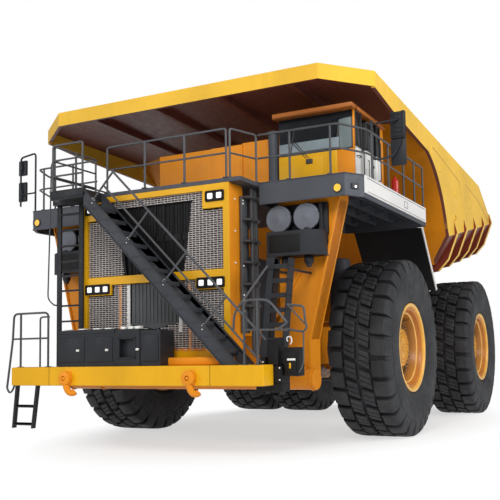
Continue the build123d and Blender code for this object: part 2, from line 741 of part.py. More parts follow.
def air_cleaners():
    """Left pair of air cleaners, with their box and dust cups."""
    pieces = [block((2120, 3180), (-3450, -3000), (3600, 4070))]
    for x in (2280, 2850):
        pieces.append(bar((x, -3270, 4325), (x, -3000, 4325), 262, 12))
    for x in (2420, 2880):
        pieces.append(bar((x, -3230, 3600), (x, -3230, 3380), 90, 10))
    return join(*pieces)


keep("air_cleaners", air_cleaners(), other_side(air_cleaners()))

CABINET_TOP = DECK_TOP + 1120
cabinet = join(block((-1090, 250), (-2300, -1300), (DECK_TOP, CABINET_TOP)),
               block((240, 1000), (-2330, -1300), (DECK_TOP, CABINET_TOP)),
               block((990, 1610), (-2300, -1300), (DECK_TOP, CABINET_TOP + 30)))
cabinet = cabinet - block((-1095, -700), (-2305, -1900), (DECK_TOP - 5, DECK_TOP + 450))
keep("control_cabinet", cabinet)
keep("deck_stack", bar((1800, -2450, DECK_TOP), (1800, -2450, CABINET_TOP + 150), 110, 12))


# Cab

def cab_windows():
    """Window openings: x limits, y limits and z limits, each through one wall."""
    left, right = CAB_X
    front, rear = CAB_Y
    over = 10
    return {
        "front": ((left + 100, right - 160), (front - over, front + CAB_WALL + over),
                  (CAB_SILL_Z, CAB_HEAD_Z)),
        "left": ((right - CAB_WALL - over, right + over), (front + 120, DOOR_Y[0] - 130),
                 (CAB_SILL_Z - 60, CAB_HEAD_Z)),
        "right": ((left - over, left + CAB_WALL + over), (front + 150, rear - 200),
                  (CAB_SILL_Z, CAB_HEAD_Z)),
        "rear": ((left + 200, right - 200), (rear - CAB_WALL - over, rear + over),
                 (CAB_SILL_Z + 50, CAB_HEAD_Z - 40)),
    }


def cab_shell():
    """Hollow cab with window and door openings, roof visor and hinge lugs."""
    inside = block((CAB_X[0] + CAB_WALL, CAB_X[1] - CAB_WALL),
                   (CAB_Y[0] + CAB_WALL, CAB_Y[1] - CAB_WALL), (CAB_FLOOR_Z, CAB_ROOF_Z - 60))
    shell = block(CAB_X, CAB_Y, (DECK_TOP, CAB_ROOF_Z)) - inside
    for x, y, z in cab_windows().values():
        shell = shell - block(x, y, z)
    shell = shell - block((CAB_X[1] - CAB_WALL - 10, CAB_X[1] + 10), DOOR_Y, DOOR_Z)
    visor = side_plate([(CAB_Y[0] - 200, CAB_ROOF_Z - 30), (CAB_Y[0] - 200, CAB_ROOF_Z + 20),
                        (CAB_Y[0] + 100, CAB_ROOF_Z + 60), (CAB_Y[1] + 40, CAB_ROOF_Z + 60),
                        (CAB_Y[1] + 40, CAB_ROOF_Z)], (CAB_X[0] - 40, CAB_X[1] + 40))
    shell = shell + visor
    for z in HINGE_Z:
        shell = shell + cylinder((HINGE_X, HINGE_Y, z), (HINGE_X, HINGE_Y, z + 60), 14)
        shell = shell + block((CAB_X[1] - 5, HINGE_X), (HINGE_Y - 60, HINGE_Y - 4), (z, z + 60))
    return shell


HINGE_X = CAB_X[1] + 14
HINGE_Y = DOOR_Y[0] - 6
HINGE_Z = (DECK_TOP + 270, CAB_ROOF_Z - 320)


def cab_door():
    """Door leaf in the opening, with its window hole and two hinge knuckles."""
    leaf = block((CAB_X[1] - CAB_WALL + 5, CAB_X[1] - 5),
                 (DOOR_Y[0] + DOOR_GAP, DOOR_Y[1] - DOOR_GAP),
                 (DOOR_Z[0] + DOOR_GAP, DOOR_Z[1] - DOOR_GAP))
    leaf = leaf - block((CAB_X[1] - CAB_WALL - 5, CAB_X[1] + 5),
                        (DOOR_Y[0] + DOOR_STILE, DOOR_Y[1] - DOOR_STILE), DOOR_GLASS_Z)
    for z in HINGE_Z:
        leaf = leaf + cylinder((HINGE_X, HINGE_Y, z - 60.5), (HINGE_X, HINGE_Y, z - 0.5), 14)
        leaf = leaf + block((CAB_X[1] + 1, HINGE_X + 4), (HINGE_Y, HINGE_Y + 60), (z - 60.5, z - 0.5))
        leaf = leaf + block((CAB_X[1] - 20, HINGE_X), (DOOR_Y[0] + DOOR_GAP, HINGE_Y + 60),
                            (z - 60.5, z - 0.5))
    return leaf


def cab_glass():
    """Panes that fill the window openings, 12 mm thick."""
    panes = []
    for name, (x, y, z) in cab_windows().items():
        fit = SEAT_GAP
        if name in ("front", "rear"):
            mid = (y[0] + y[1]) / 2
            panes.append(block((x[0] + fit, x[1] - fit), (mid - 6, mid + 6), (z[0] + fit, z[1] - fit)))
        else:
            mid = (x[0] + x[1]) / 2
            panes.append(block((mid - 6, mid + 6), (y[0] + fit, y[1] - fit), (z[0] + fit, z[1] - fit)))
    return panes


keep("cab_shell", cab_shell())
keep("cab_door", cab_door())
keep("cab_glass", *cab_glass())
door_mid = CAB_X[1] - CAB_WALL / 2
keep("door_glass", block((door_mid - 6, door_mid + 6),
                         (DOOR_Y[0] + DOOR_STILE + SEAT_GAP, DOOR_Y[1] - DOOR_STILE - SEAT_GAP),
                         (DOOR_GLASS_Z[0] + SEAT_GAP, DOOR_GLASS_Z[1] - SEAT_GAP)))
SEAT_Z = CAB_FLOOR_Z + 360
BACK_TOP = SEAT_Z + 850
keep("driver_seat", join(block((2550, 2850), (-1650, -1350), (CAB_FLOOR_Z, SEAT_Z)),
                         block((2420, 2980), (-1820, -1280), (SEAT_Z - 10, SEAT_Z + 150)),
                         side_plate([(-1380, SEAT_Z + 140), (-1260, SEAT_Z + 140),
                                     (-1140, BACK_TOP), (-1240, BACK_TOP)], (2450, 2950))))
CONSOLE_Z = CAB_FLOOR_Z + 560
console = block((2250, 3150), (CAB_Y[0] + CAB_WALL, CAB_Y[0] + 300), (CAB_FLOOR_Z, CONSOLE_Z))
steering_wheel = bar((2700, CAB_Y[0] + 290, CONSOLE_Z - 90), (2700, CAB_Y[0] + 420, CONSOLE_Z + 30),
                     200, 12)
keep("driver_console", join(console, steering_wheel))

# Railings
TOP = DECK_TOP + RAIL_HEIGHT
panels = []
side_panels = [((2230, -3370), (3640, -3370), 4), ((3685, -3345), (3890, -3010), 2),
               ((3890, -2960), (3890, 840), 5)]
for start, end, posts in side_panels:
    piece = rail_panel(start, end, DECK_TOP, TOP, posts)
    panels += [piece, other_side(piece)]
panels.append(rail_panel((-1090, -4070), (1640, -4070), DECK_TOP, TOP, 4))
panels.append(rail_panel((1700, -4040), (1900, -3400), DECK_TOP, TOP, 2))
panels.append(rail_panel((-1920, -4690), (-1180, -4690), DECK_TOP, TOP, 2, 2))
panels.append(rail_panel((-1920, -4640), (-1920, -3430), DECK_TOP, TOP, 3, 2))
keep("deck_railings", *panels)
edge = BUMPER_HALF - 50
bumper_panels = [rail_panel((-edge, -4840), (-edge + 670, -4840), BUMPER_Z[1], 2680, 2),
                 rail_panel((-edge, -4780), (-edge, -4520), BUMPER_Z[1], 2680, 2),
                 rail_panel((edge - 370, -4840), (edge + 20, -4840), BUMPER_Z[1], 2900, 2)]
keep("bumper_rails", *bumper_panels)

# Mirrors
ARM_Z = DECK_TOP + 1270
POST_Z = DECK_TOP + 1320
LOW_ARM_Z = DECK_TOP + 570
left_mirror = join(bar((3840, -3180, DECK_TOP), (3840, -3180, POST_Z), POST_BAR),
                   bar((3840, -3180, ARM_Z), (4250, -2740, ARM_Z), RAIL_BAR),
                   bar((3840, -3180, LOW_ARM_Z), (4250, -2740, LOW_ARM_Z), RAIL_BAR),
                   block((4080, 4420), (-2760, -2680), (DECK_TOP + 20, DECK_TOP + 1370)))
right_mirror = join(bar((-3840, -3180, DECK_TOP), (-3840, -3180, POST_Z + 50), POST_BAR),
                    bar((-3840, -3180, POST_Z), (-4300, -3150, POST_Z), RAIL_BAR),
                    bar((-3840, -3180, LOW_ARM_Z - 100), (-4300, -3150, LOW_ARM_Z - 100), RAIL_BAR),
                    bar((-4300, -3150, LOW_ARM_Z - 300), (-4300, -3150, POST_Z + 50), RAIL_BAR),
                    block((-4420, -4180), (-3190, -3140), (DECK_TOP + 920, ARM_Z)),
                    block((-4420, -4180), (-3190, -3140), (DECK_TOP + 320, DECK_TOP + 770)))
keep("mirrors", left_mirror, right_mirror)
lamp_z = DECK_TOP - 270
amber = bar((3550, DECK_FRONT_Y, lamp_z), (3550, DECK_FRONT_Y - 25, lamp_z), 75, 16)
keep("marker_lamps", amber, other_side(amber))


# Dump bed
BED_RUN = TAIL_Y + 300 - CORNER_Y
BED_WAY = Vector(-BED_TAPER, 1, BED_SLOPE)
SECTION_Z = FLOOR_FRONT[1] - (FLOOR_FRONT[0] - CORNER_Y) * BED_SLOPE
BED_Y, BED_Z = FLOOR_FRONT
CANOPY_TOP = (1720, BED_Z + 2990)
CANOPY_SLOPE = 0.0323
ABOVE_BED = (BED_Z + 2450, BED_Z + 3450)
CANOPY_PLATE = 60
WING_DROP = 100
WALL_TOP_Y = BED_Y - 3240
CURVE = [FLOOR_FRONT, (BED_Y - 600, BED_Z + 780), (BED_Y - 1300, BED_Z + 1810),
         (BED_Y - 2420, BED_Z + 2420)]


def along_bed(points):
    """Left section polygon (x outward from the knee, z above the floor's edge), run aft."""
    outline = [(CORNER_HALF + px, CORNER_Y, SECTION_Z + pz) for px, pz in points]
    face = make_face(Polyline(*outline, close=True))
    return extrude(face, amount=BED_RUN * BED_WAY.length, dir=BED_WAY)


def canopy_top(y):
    """Height of the canopy's middle at one station."""
    return CANOPY_TOP[1] + CANOPY_SLOPE * (CANOPY_TOP[0] - y)


def floor_bottom(y):
    """Height of the floor's underside at one station."""
    return FLOOR_FRONT[1] + (y - FLOOR_FRONT[0]) * BED_SLOPE


def side_outline():
    """Side view of the bed as a solid spread over its whole width."""
    (a, b, c, d) = CURVE
    lines = [Line((0, *a), (0, *b)), ThreePointArc((0, *b), (0, *c), (0, *d))]
    rest = [d, (CORNER_Y + 1130, BED_Z + 2590), (CORNER_Y, BED_Z + 2715),
            (CORNER_Y, BED_Z + 3035), (BED_Y - 2080, BED_Z + 2910), (TAIL_Y - 2430, BED_Z + 2780),
            (TAIL_Y - 360, BED_Z + 1910), (TAIL_Y, floor_bottom(TAIL_Y)), a]
    lines.append(Polyline(*[(0, py, pz) for py, pz in rest]))
    face = make_face(lines)
    return Pos(-4500, 0, 0) * extrude(face, amount=9000, dir=(1, 0, 0))


EDGE_RISE = 150
WALL_FOOT = KNEE_UP + EDGE_RISE * 0.25
OUTSIDE = [(-KNEE_OUT, -3000), (-KNEE_OUT, EDGE_RISE), (-BED_WALL, WALL_FOOT), (-BED_WALL, 6000),
           (1500, 6000), (1500, -3000)]


def bed_side():
    """Left side: sloped lower plate, upright plate and the canopy's side band."""
    section = [(-KNEE_OUT, 0), (0, KNEE_UP), (0, 6000), (-BED_WALL, 6000), (-BED_WALL, WALL_FOOT),
               (-KNEE_OUT, EDGE_RISE)]
    return along_bed(section) & side_outline()


def front_wall():
    """Curved front wall between the sides."""
    (a, b, c, d) = CURVE
    step = (70, 62)

    def path(shift):
        return [(0, py + step[0] * shift, pz + step[1] * shift) for py, pz in (a, b, c, d)]

    p, q = path(0), path(1)
    for points, y in ((p, WALL_TOP_Y), (q, WALL_TOP_Y + BED_WALL)):
        points.append((0, y, canopy_top(y) - CANOPY_PLATE))
    lines = [Line(p[0], p[1]), ThreePointArc(p[1], p[2], p[3]), Line(p[3], p[4]),
             Line(p[4], q[4]), Line(q[4], q[3]), ThreePointArc(q[3], q[2], q[1]),
             Line(q[1], q[0]), Line(q[0], p[0])]
    wall = Pos(-4500, 0, 0) * extrude(make_face(lines), amount=9000, dir=(1, 0, 0))
    outside = along_bed(OUTSIDE)
    return wall - outside - other_side(outside) - canopy_plate(CANOPY_PLATE * 4)


def canopy_plate(above=0):
    """Crowned roof plate over the cab and deck, with room above it where asked."""
    rear = WALL_TOP_Y + 340
    section = [(LIP_Y, canopy_top(LIP_Y) + above), (rear, canopy_top(rear) + above),
               (rear, canopy_top(rear) - CANOPY_PLATE), (LIP_Y, canopy_top(LIP_Y) - CANOPY_PLATE)]
    middle = side_plate(section, (-LIP_HALF, LIP_HALF))
    outline = make_face(Polyline(*[(LIP_HALF, py, pz) for py, pz in section], close=True))
    way = Vector(CORNER_HALF - LIP_HALF, 0, -WING_DROP)
    wing = extrude(outline, amount=way.length, dir=way)
    corner_cut = plan_plate([(LIP_HALF, LIP_Y - 5), (CORNER_HALF + 50, LIP_Y - 5),
                             (CORNER_HALF + 50, CORNER_Y + 35), (LIP_HALF, LIP_Y)], ABOVE_BED)
    wing = wing - corner_cut
    return join(middle, wing, other_side(wing))


def canopy():
    """Roof plate with its front lip, slanted corner lips and lengthwise ribs."""
    outside = along_bed(OUTSIDE)
    plate = canopy_plate() - outside - other_side(outside)
    top = canopy_top(LIP_Y)
    lip = side_plate([(LIP_Y, top), (LIP_Y + 70, top), (LIP_Y + 70, top - LIP_DROP),
                      (LIP_Y, top - LIP_DROP)], (-LIP_HALF, LIP_HALF))
    face = make_face(Polyline(*[(LIP_HALF, py, pz) for py, pz in
                                [(LIP_Y, top), (LIP_Y + 90, top), (LIP_Y + 90, top - LIP_DROP),
                                 (LIP_Y, top - LIP_DROP)]], close=True))
    way = Vector(CORNER_HALF - LIP_HALF, CORNER_Y - LIP_Y, -WING_DROP - 15)
    slant = extrude(face, amount=way.length, dir=way)
    slant = slant - block((LIP_HALF, CORNER_HALF + 50), (CORNER_Y, CORNER_Y + 200), ABOVE_BED)
    pieces = [plate, lip, slant, other_side(slant)]
    for x in (-2400, -800, 800, 2400):
        rear = WALL_TOP_Y - 5
        pieces.append(side_plate([(LIP_Y + 60, top - 50), (rear, canopy_top(rear) - 50),
                                  (rear - 60, canopy_top(rear) - 160), (LIP_Y + 60, top - 200)],
                                 (x - 60, x + 60)))
    return join(*pieces)


def bed_floor():
    """Floor plate between the sides, behind the front wall."""
    rear = TAIL_Y - 60
    plate = side_plate([(FLOOR_FRONT[0], floor_bottom(FLOOR_FRONT[0])), (rear, floor_bottom(rear)),
                        (rear, floor_bottom(rear) + BED_FLOOR),
                        (FLOOR_FRONT[0], floor_bottom(FLOOR_FRONT[0]) + BED_FLOOR)], (-4200, 4200))
    outside = along_bed(OUTSIDE)
    return plate - outside - other_side(outside) - front_wall()


def bed_sills():
    """Left sill over the frame rail, the left pivot ear and the hoist's upper pin."""
    front, rear = BED_Y + 50, TAIL_Y - 210
    sill = side_plate([(front, floor_bottom(front)), (front, BED_Z - 410),
                       (PIVOT_Y - 2100, ARCH_Z + 596), (PIVOT_Y - 300, ARCH_Z + 682),
                       (PIVOT_Y - 250, ARCH_Z + 770), (PIVOT_Y + 350, ARCH_Z + 840),
                       (PIVOT_Y + 900, BED_Z + 100), (rear, BED_Z + 1030),
                       (rear, floor_bottom(rear))],
                      (RAIL_IN, RAIL_OUT))
    ear = side_plate([(PIVOT_Y - 190, PIVOT_Z - 30), (PIVOT_Y - 500, floor_bottom(PIVOT_Y - 500)),
                      (PIVOT_Y + 600, floor_bottom(PIVOT_Y + 600)), (PIVOT_Y + 190, PIVOT_Z - 30),
                      (PIVOT_Y + 140, PIVOT_Z - 145), (PIVOT_Y, PIVOT_Z - 195),
                      (PIVOT_Y - 140, PIVOT_Z - 145)], (400, RAIL_IN - 15))
    ear = ear - cylinder((390, PIVOT_Y, PIVOT_Z), (RAIL_IN, PIVOT_Y, PIVOT_Z),
                         PIVOT_RADIUS + PIN_CLEARANCE)
    pin = bar((RAIL_OUT + SEAT_GAP, *HOIST_HEAD), (HOIST_X + 100, *HOIST_HEAD),
              HOIST_PIN_RADIUS, HOIST_SIDES)
    return [sill, ear, pin]


def bed_ribs():
    """Five hoops under the floor that wrap the lower corners, in left and right halves."""
    filled = along_bed([(-KNEE_OUT - 3000, 0), (-KNEE_OUT, 0), (0, KNEE_UP), (0, 6000),
                        (-KNEE_OUT - 3000, 6000)])
    ribs = []
    for place in (220, 1480, 2900, 4250, 5530):
        y = BED_Y + place
        knee = CORNER_HALF - BED_TAPER * (y - CORNER_Y)
        low = floor_bottom(y)
        high = low + KNEE_UP
        edge = knee - KNEE_OUT
        outline = [(knee - 60, high + 330), (knee + 5, high + 330), (knee + 75, high + 40),
                   (edge + 330, low + 100), (edge + 60, low - 190), (edge - 300, low - 240),
                   (1450, low - 200), (1450, low + 60), (edge - 200, low + 300)]
        rib = front_plate(outline, (y - 80, y + 80)) - filled
        ribs += [rib, other_side(rib)]
    return ribs


left_side = bed_side()
keep("bed_left_side", left_side)
keep("bed_right_side", other_side(left_side))
keep("bed_front_wall", front_wall())
keep("bed_canopy", canopy())
keep("bed_floor", bed_floor())
keep("bed_sills", *bed_sills(), *[other_side(piece) for piece in bed_sills()])
keep("bed_ribs", *bed_ribs())
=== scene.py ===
# %% [markdown]
# # A mining dump truck, dressed on its CAD frame
#
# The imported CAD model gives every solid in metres, in one shared frame: X to the
# truck's left, Y to the rear and Z up. This lesson loads it, puts the camera where
# the photograph was taken, and then works along the truck. Pieces whose CAD shape is
# right get softened edges and a real finish. Pieces that need more, such as the tyres
# and the handrails, are worked out again as surfaces.

import json
from math import cos, radians, sin

import bmesh
import bpy
import numpy as np
from mathutils import Matrix, Vector


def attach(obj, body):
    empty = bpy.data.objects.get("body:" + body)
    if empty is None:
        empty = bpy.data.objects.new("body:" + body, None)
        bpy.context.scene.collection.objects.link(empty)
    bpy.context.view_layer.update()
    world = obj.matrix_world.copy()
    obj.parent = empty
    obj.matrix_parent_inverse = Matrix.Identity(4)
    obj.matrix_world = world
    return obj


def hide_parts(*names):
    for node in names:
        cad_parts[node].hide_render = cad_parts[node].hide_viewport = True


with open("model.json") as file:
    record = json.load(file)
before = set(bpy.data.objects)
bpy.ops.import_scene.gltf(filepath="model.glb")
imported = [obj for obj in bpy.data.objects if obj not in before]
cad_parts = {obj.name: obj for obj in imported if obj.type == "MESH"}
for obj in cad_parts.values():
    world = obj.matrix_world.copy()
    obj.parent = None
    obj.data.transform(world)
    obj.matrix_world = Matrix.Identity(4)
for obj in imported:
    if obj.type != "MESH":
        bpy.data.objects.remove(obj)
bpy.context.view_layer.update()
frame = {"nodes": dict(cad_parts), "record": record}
nodes = frame["nodes"]
slot_of = {entry["node"]: entry["material_slot"] for entry in frame["record"]["subparts"]}
body_of = {node: body for body, members in frame["record"]["behaviour"]["bodies"].items()
           for node in members}
print("nodes in the frame:", len(nodes))

# %% [markdown]
# ## Camera
#
# The photograph was taken from a few metres to the truck's left of its nose, at eye
# height, with a lens a little longer than normal. The view tilts up by under 5
# degrees. Its place was solved from the tyres, the deck edge and the bumper.

# %% Camera
AXLE_Y = -2.555
SENSOR_MM, PHOTO_PIXELS = 36, 500
FOCAL_PIXELS, CENTRE_PIXEL = 776.643, (290.643, 288.627)
CAMERA_PLACE = (8.767, -16.128, 1.850)


def station(y):
    """A distance behind the front axle, turned into the frame's own Y."""
    return y + AXLE_Y


def photo_camera():
    """Camera from its place, heading, pitch and roll; the shift keeps the photo's crop."""
    heading, pitch, roll = radians(25.937), radians(4.627), radians(-1.063)
    forward = Vector((-sin(heading) * cos(pitch), cos(heading) * cos(pitch), sin(pitch)))
    level = Vector((cos(heading), sin(heading), 0))
    upright = level.cross(forward)
    right = level * cos(roll) + upright * sin(roll)
    up = upright * cos(roll) - level * sin(roll)
    optics = bpy.data.cameras.new("photo_camera")
    optics.sensor_width = SENSOR_MM
    optics.lens = FOCAL_PIXELS / PHOTO_PIXELS * SENSOR_MM
    optics.shift_x = (PHOTO_PIXELS / 2 - CENTRE_PIXEL[0]) / PHOTO_PIXELS
    optics.shift_y = (CENTRE_PIXEL[1] - PHOTO_PIXELS / 2) / PHOTO_PIXELS
    camera = bpy.data.objects.new("photo_camera", optics)
    turn = Matrix((right, up, -forward)).transposed().to_4x4()
    x, y, z = CAMERA_PLACE
    camera.matrix_world = Matrix.Translation((x, station(y), z)) @ turn
    bpy.context.collection.objects.link(camera)
    return camera


bpy.context.scene.camera = photo_camera()
print("lens in mm:", round(bpy.context.scene.camera.data.lens, 1))

# %% [markdown]
# ## Node helpers
#
# Every finish here is a small network of nodes. A few helpers keep the networks short:
# one adds a node with its settings and inputs, and the others each make one common node.

# %% Node helpers


def feed(tree, node, inputs):
    """Put each value on its socket, or link it there when it is another node's output."""
    for key, value in inputs.items():
        if isinstance(value, bpy.types.NodeSocket):
            tree.links.new(value, node.inputs[key])
        else:
            node.inputs[key].default_value = value


def add(tree, kind, inputs=None, **settings):
    """One shader node, with its settings by name and its inputs by socket."""
    node = tree.nodes.new("ShaderNode" + kind)
    for key, value in settings.items():
        setattr(node, key, value)
    feed(tree, node, inputs or {})
    return node


def mix(tree, factor, low, high):
    """Colour mix: low where the factor is 0 and high where it is 1."""
    return add(tree, "Mix", {0: factor, 6: low, 7: high}, data_type="RGBA").outputs[2]


def ramp(tree, value, low, high, start=0.0, end=1.0):
    """A value's range low to high, stretched onto start to end and held there."""
    limits = {"Value": value, "From Min": low, "From Max": high, "To Min": start, "To Max": end}
    return add(tree, "MapRange", limits, clamp=True).outputs["Result"]


def maths(tree, operation, *values):
    """The result of one math node."""
    return add(tree, "Math", dict(enumerate(values)), operation=operation).outputs[0]


def noise(tree, coords, scale, detail=3.0, stretch=None):
    """Cloudy noise on object coordinates, stretched along an axis where asked."""
    if stretch:
        coords = add(tree, "Mapping", {"Vector": coords, "Scale": stretch}).outputs["Vector"]
    return add(tree, "TexNoise", {"Vector": coords, "Scale": scale, "Detail": detail}).outputs["Fac"]


def bump(tree, height, strength, distance):
    """Bump from a height pattern, its distance in metres."""
    inputs = {"Strength": strength, "Distance": distance, "Height": height}
    return add(tree, "Bump", inputs).outputs["Normal"]


def split(tree, vector):
    """The X, Y and Z of a vector."""
    return add(tree, "SeparateXYZ", {0: vector}).outputs


def blank(name):
    """A material with its tree, and the object coordinates and normals to draw on."""
    material = bpy.data.materials.new(name)
    material.use_nodes = True
    coords = add(material.node_tree, "TexCoord").outputs
    return material, material.node_tree, coords["Object"], coords["Normal"]


def shade(tree, inputs):
    """Inputs for the material's principled shader."""
    feed(tree, tree.nodes["Principled BSDF"], inputs)


def tone(colour, factor=1.0):
    """A colour made darker or lighter, with its alpha."""
    return (*(min(1, c * factor) for c in colour), 1)


# %% [markdown]
# ## Paint
#
# Heavy plate is sprayed thick, so it has a faint orange-peel skin, broad tonal
# clouds where the sun has bleached it, and pale dust on whatever faces up. Faces
# that point down on some plates turn brown: this is painted shade, picked out by
# which way a face points on the piece itself.

# %% Paint
DUST_COLOUR = (0.62, 0.56, 0.47)
# Brown painted shade for faces that point down.
PAINTED_SHADE_BROWN = (0.175, 0.056, 0.045)


def paint(name, colour, roughness=0.4, dust=0.16, cloud=0.1, below=None):
    """Sprayed plate: tonal clouds, streaks, orange peel, dust on top and painted shade underneath."""
    material, tree, place, facing = blank(name)
    up = split(tree, facing)["Z"]
    clouds = ramp(tree, noise(tree, place, 0.55, 5), 0.35, 0.65)
    skin = mix(tree, clouds, tone(colour, 1 - cloud), tone(colour, 1 + cloud * 0.6))
    streak = ramp(tree, noise(tree, place, 1.1, 4, (3, 3, 0.35)), 0.52, 0.75, 0, cloud * 2.2)
    skin = mix(tree, streak, skin, tone(colour, 0.62))
    # Painted shade: faces that turn down blend to the given brown.
    if below:
        skin = mix(tree, ramp(tree, up, -0.2, -0.45), skin, tone(below))
    grit = ramp(tree, noise(tree, place, 6, 6), 0.45, 0.7)
    dusty = maths(tree, "MULTIPLY", ramp(tree, up, 0.55, 0.95, 0, dust), grit)
    rough = ramp(tree, noise(tree, place, 9, 4), 0.3, 0.7, roughness - 0.07, roughness + 0.1)
    shade(tree, {"Base Color": mix(tree, dusty, skin, tone(DUST_COLOUR)), "Roughness": rough,
                 "Normal": bump(tree, noise(tree, place, 160, 2), 0.12, 0.002),
                 "Specular IOR Level": 0.25})
    return material


# Name: colour, roughness, dust, strength of the clouds, and the brown painted shade for faces that point
# down.
PAINTS = {
    "yellow_paint": ((0.78, 0.405, 0.006), 0.36, 0.06),
    "orange_paint": ((0.76, 0.265, 0.010), 0.38, 0.06, 0.16),
    # The bed sides and the canopy turn brown underneath: painted shade.
    "pale_yellow_paint": ((0.88, 0.54, 0.055), 0.42, 0.16, 0.1, PAINTED_SHADE_BROWN),
    "canopy_paint": ((0.84, 0.50, 0.045), 0.42, 0.16, 0.1, PAINTED_SHADE_BROWN),
    "rib_paint": ((0.90, 0.57, 0.075), 0.42),
    # Orange darkened with painted shade, for the cab frame and brow under the canopy.
    "orange_painted_shade": ((0.40, 0.125, 0.020), 0.4, 0.08, 0.2),
    "white_paint": ((0.78, 0.78, 0.77), 0.4, 0.16, 0.06),
    "dark_grey_paint": ((0.070, 0.077, 0.093), 0.44, 0.10, 0.2),
    "galvanised_tube": ((0.078, 0.082, 0.090), 0.36, 0.05, 0.18),
    "cover_grey": ((0.085, 0.09, 0.095), 0.5, 0.16, 0.2),
    "lid_grey": ((0.15, 0.163, 0.195), 0.4, 0.16, 0.15),
    # Darker copies of the dark grey paint for the boxes, ladders and stair: painted shade.
    "box_grey_painted_shade": ((0.020, 0.022, 0.027), 0.45, 0.05, 0.2),
    "stair_grey_painted_shade": ((0.042, 0.046, 0.056), 0.45, 0.05, 0.2),
    "black_metal": ((0.006, 0.006, 0.007), 0.55, 0.03, 0.3),
    "silver_mesh": ((0.60, 0.56, 0.55), 0.34, 0.0, 0.2),
    # A pale grey-blue painted reflection for the low band of the windscreen.
    "pale_painted_reflection": ((0.26, 0.32, 0.35), 0.2, 0.0, 0.3),
    "pane_grey": ((0.17, 0.21, 0.215), 0.2, 0.0, 0.3),
    # Near black: painted shade for the cab seen through its panes.
    "painted_shade_glass": ((0.010, 0.013, 0.016), 0.12, 0.0, 0.3),
}
finish = {name: paint(name, *values) for name, values in PAINTS.items()}
print("paints:", sorted(finish))

# %% [markdown]
# ## Rubber, steel, glass and trim
#
# Tyre rubber is nearly black, dull, and greyed by dried mud that the noise gathers
# in patches. Mirrors and hoist rods are plated steel. Glass keeps a dark tint, and
# lamp lenses are ribbed clear plastic with a faint glow that is painted light for the
# lit reflector behind them.

# %% Rubber and other finishes


def rubber():
    """Tyre rubber: dull charcoal, mottled, with a fine cast texture."""
    material, tree, place, _ = blank("rubber_tyre")
    patches = ramp(tree, noise(tree, place, 1.6, 6), 0.42, 0.68)
    skin = mix(tree, patches, (0.013, 0.014, 0.017, 1), (0.034, 0.036, 0.040, 1))
    specks = ramp(tree, noise(tree, place, 22, 5), 0.6, 0.8, 0, 0.35)
    shade(tree, {"Base Color": mix(tree, specks, skin, (0.062, 0.061, 0.060, 1)),
                 "Roughness": ramp(tree, noise(tree, place, 7, 4), 0.3, 0.7, 0.62, 0.82),
                 "Normal": bump(tree, noise(tree, place, 55, 5), 0.35, 0.004)})
    return material


def steel(name, colour, roughness, grain=(1, 1, 1), scale=30):
    """Bare or plated steel, with its roughness drawn out along the grain."""
    material, tree, place, _ = blank(name)
    lines = noise(tree, place, scale, 4, grain)
    skin = mix(tree, ramp(tree, lines, 0.35, 0.65), tone(colour, 0.72), tone(colour))
    shade(tree, {"Base Color": skin, "Metallic": 1.0, "Normal": bump(tree, lines, 0.08, 0.001),
                 "Roughness": ramp(tree, lines, 0.3, 0.7, roughness - 0.06, roughness + 0.1)})
    return material


def glazing():
    """Tinted laminated glass, dusty in patches."""
    material, tree, place, _ = blank("clear_glass")
    haze = noise(tree, place, 2.5, 4)
    tint = mix(tree, ramp(tree, haze, 0.4, 0.7), (0.05, 0.07, 0.075, 1), (0.10, 0.125, 0.13, 1))
    shade(tree, {"Base Color": tint, "Roughness": ramp(tree, haze, 0.3, 0.7, 0.03, 0.1),
                 "Alpha": 0.72, "IOR": 1.5})
    return material


def lens(name, colour, painted_glow, scale=70):
    """Moulded lens: fine ribs, and a faint glow that is painted light for the lit reflector."""
    material, tree, place, _ = blank(name)
    ribs = add(tree, "TexWave", {"Vector": place, "Scale": scale}, wave_type="BANDS",
               bands_direction="X").outputs["Fac"]
    shade(tree, {"Base Color": mix(tree, ribs, tone(colour, 0.85), tone(colour)), "Roughness": 0.12,
                 "Emission Color": tone(colour), "Emission Strength": painted_glow,
                 "Normal": bump(tree, ribs, 0.2, 0.002)})
    return material


def soft_trim(name, colour, roughness, weave):
    """Cab trim: a grained plastic or a woven seat cloth, by the scale of its weave."""
    material, tree, place, _ = blank(name)
    cells = add(tree, "TexVoronoi", {"Vector": place, "Scale": weave}).outputs["Distance"]
    shade(tree, {"Base Color": mix(tree, cells, tone(colour, 0.6), tone(colour)),
                 "Roughness": roughness, "Normal": bump(tree, cells, 0.3, 0.002)})
    return material


finish.update({
    "rubber_tyre": rubber(),
    "chromed_steel": steel("chromed_steel", (0.78, 0.79, 0.80), 0.12, (1, 1, 14), 8),
    "clear_glass": glazing(),
    # The lenses glow: painted light standing for their reflectors.
    "lamp_lens": lens("lamp_lens", (0.95, 0.95, 0.93), 0.55),
    "amber_lens": lens("amber_lens", (0.95, 0.50, 0.03), 0.25),
    "red_lens": lens("red_lens", (0.55, 0.02, 0.015), 0.12),
    "black_fabric": soft_trim("black_fabric", (0.035, 0.036, 0.04), 0.9, 320),
    "dark_plastic": soft_trim("dark_plastic", (0.05, 0.05, 0.055), 0.6, 500),
})

# %% [markdown]
# ## Paint and painted light that change over a piece
#
# Some pieces carry painted light. The canopy is yellow on top and brown with painted
# shade beneath, the body's ribs are brown with painted shade where they face forward or
# down, and a rim has bright rings of painted highlight and a dish darkened by painted shade.
# The place and the facing of a point decide its colour, so no mesh has to be cut.

# %% Painted shade and highlight on pieces
HUB_HEIGHT = 1.89
REAR_AXLE = 6.35


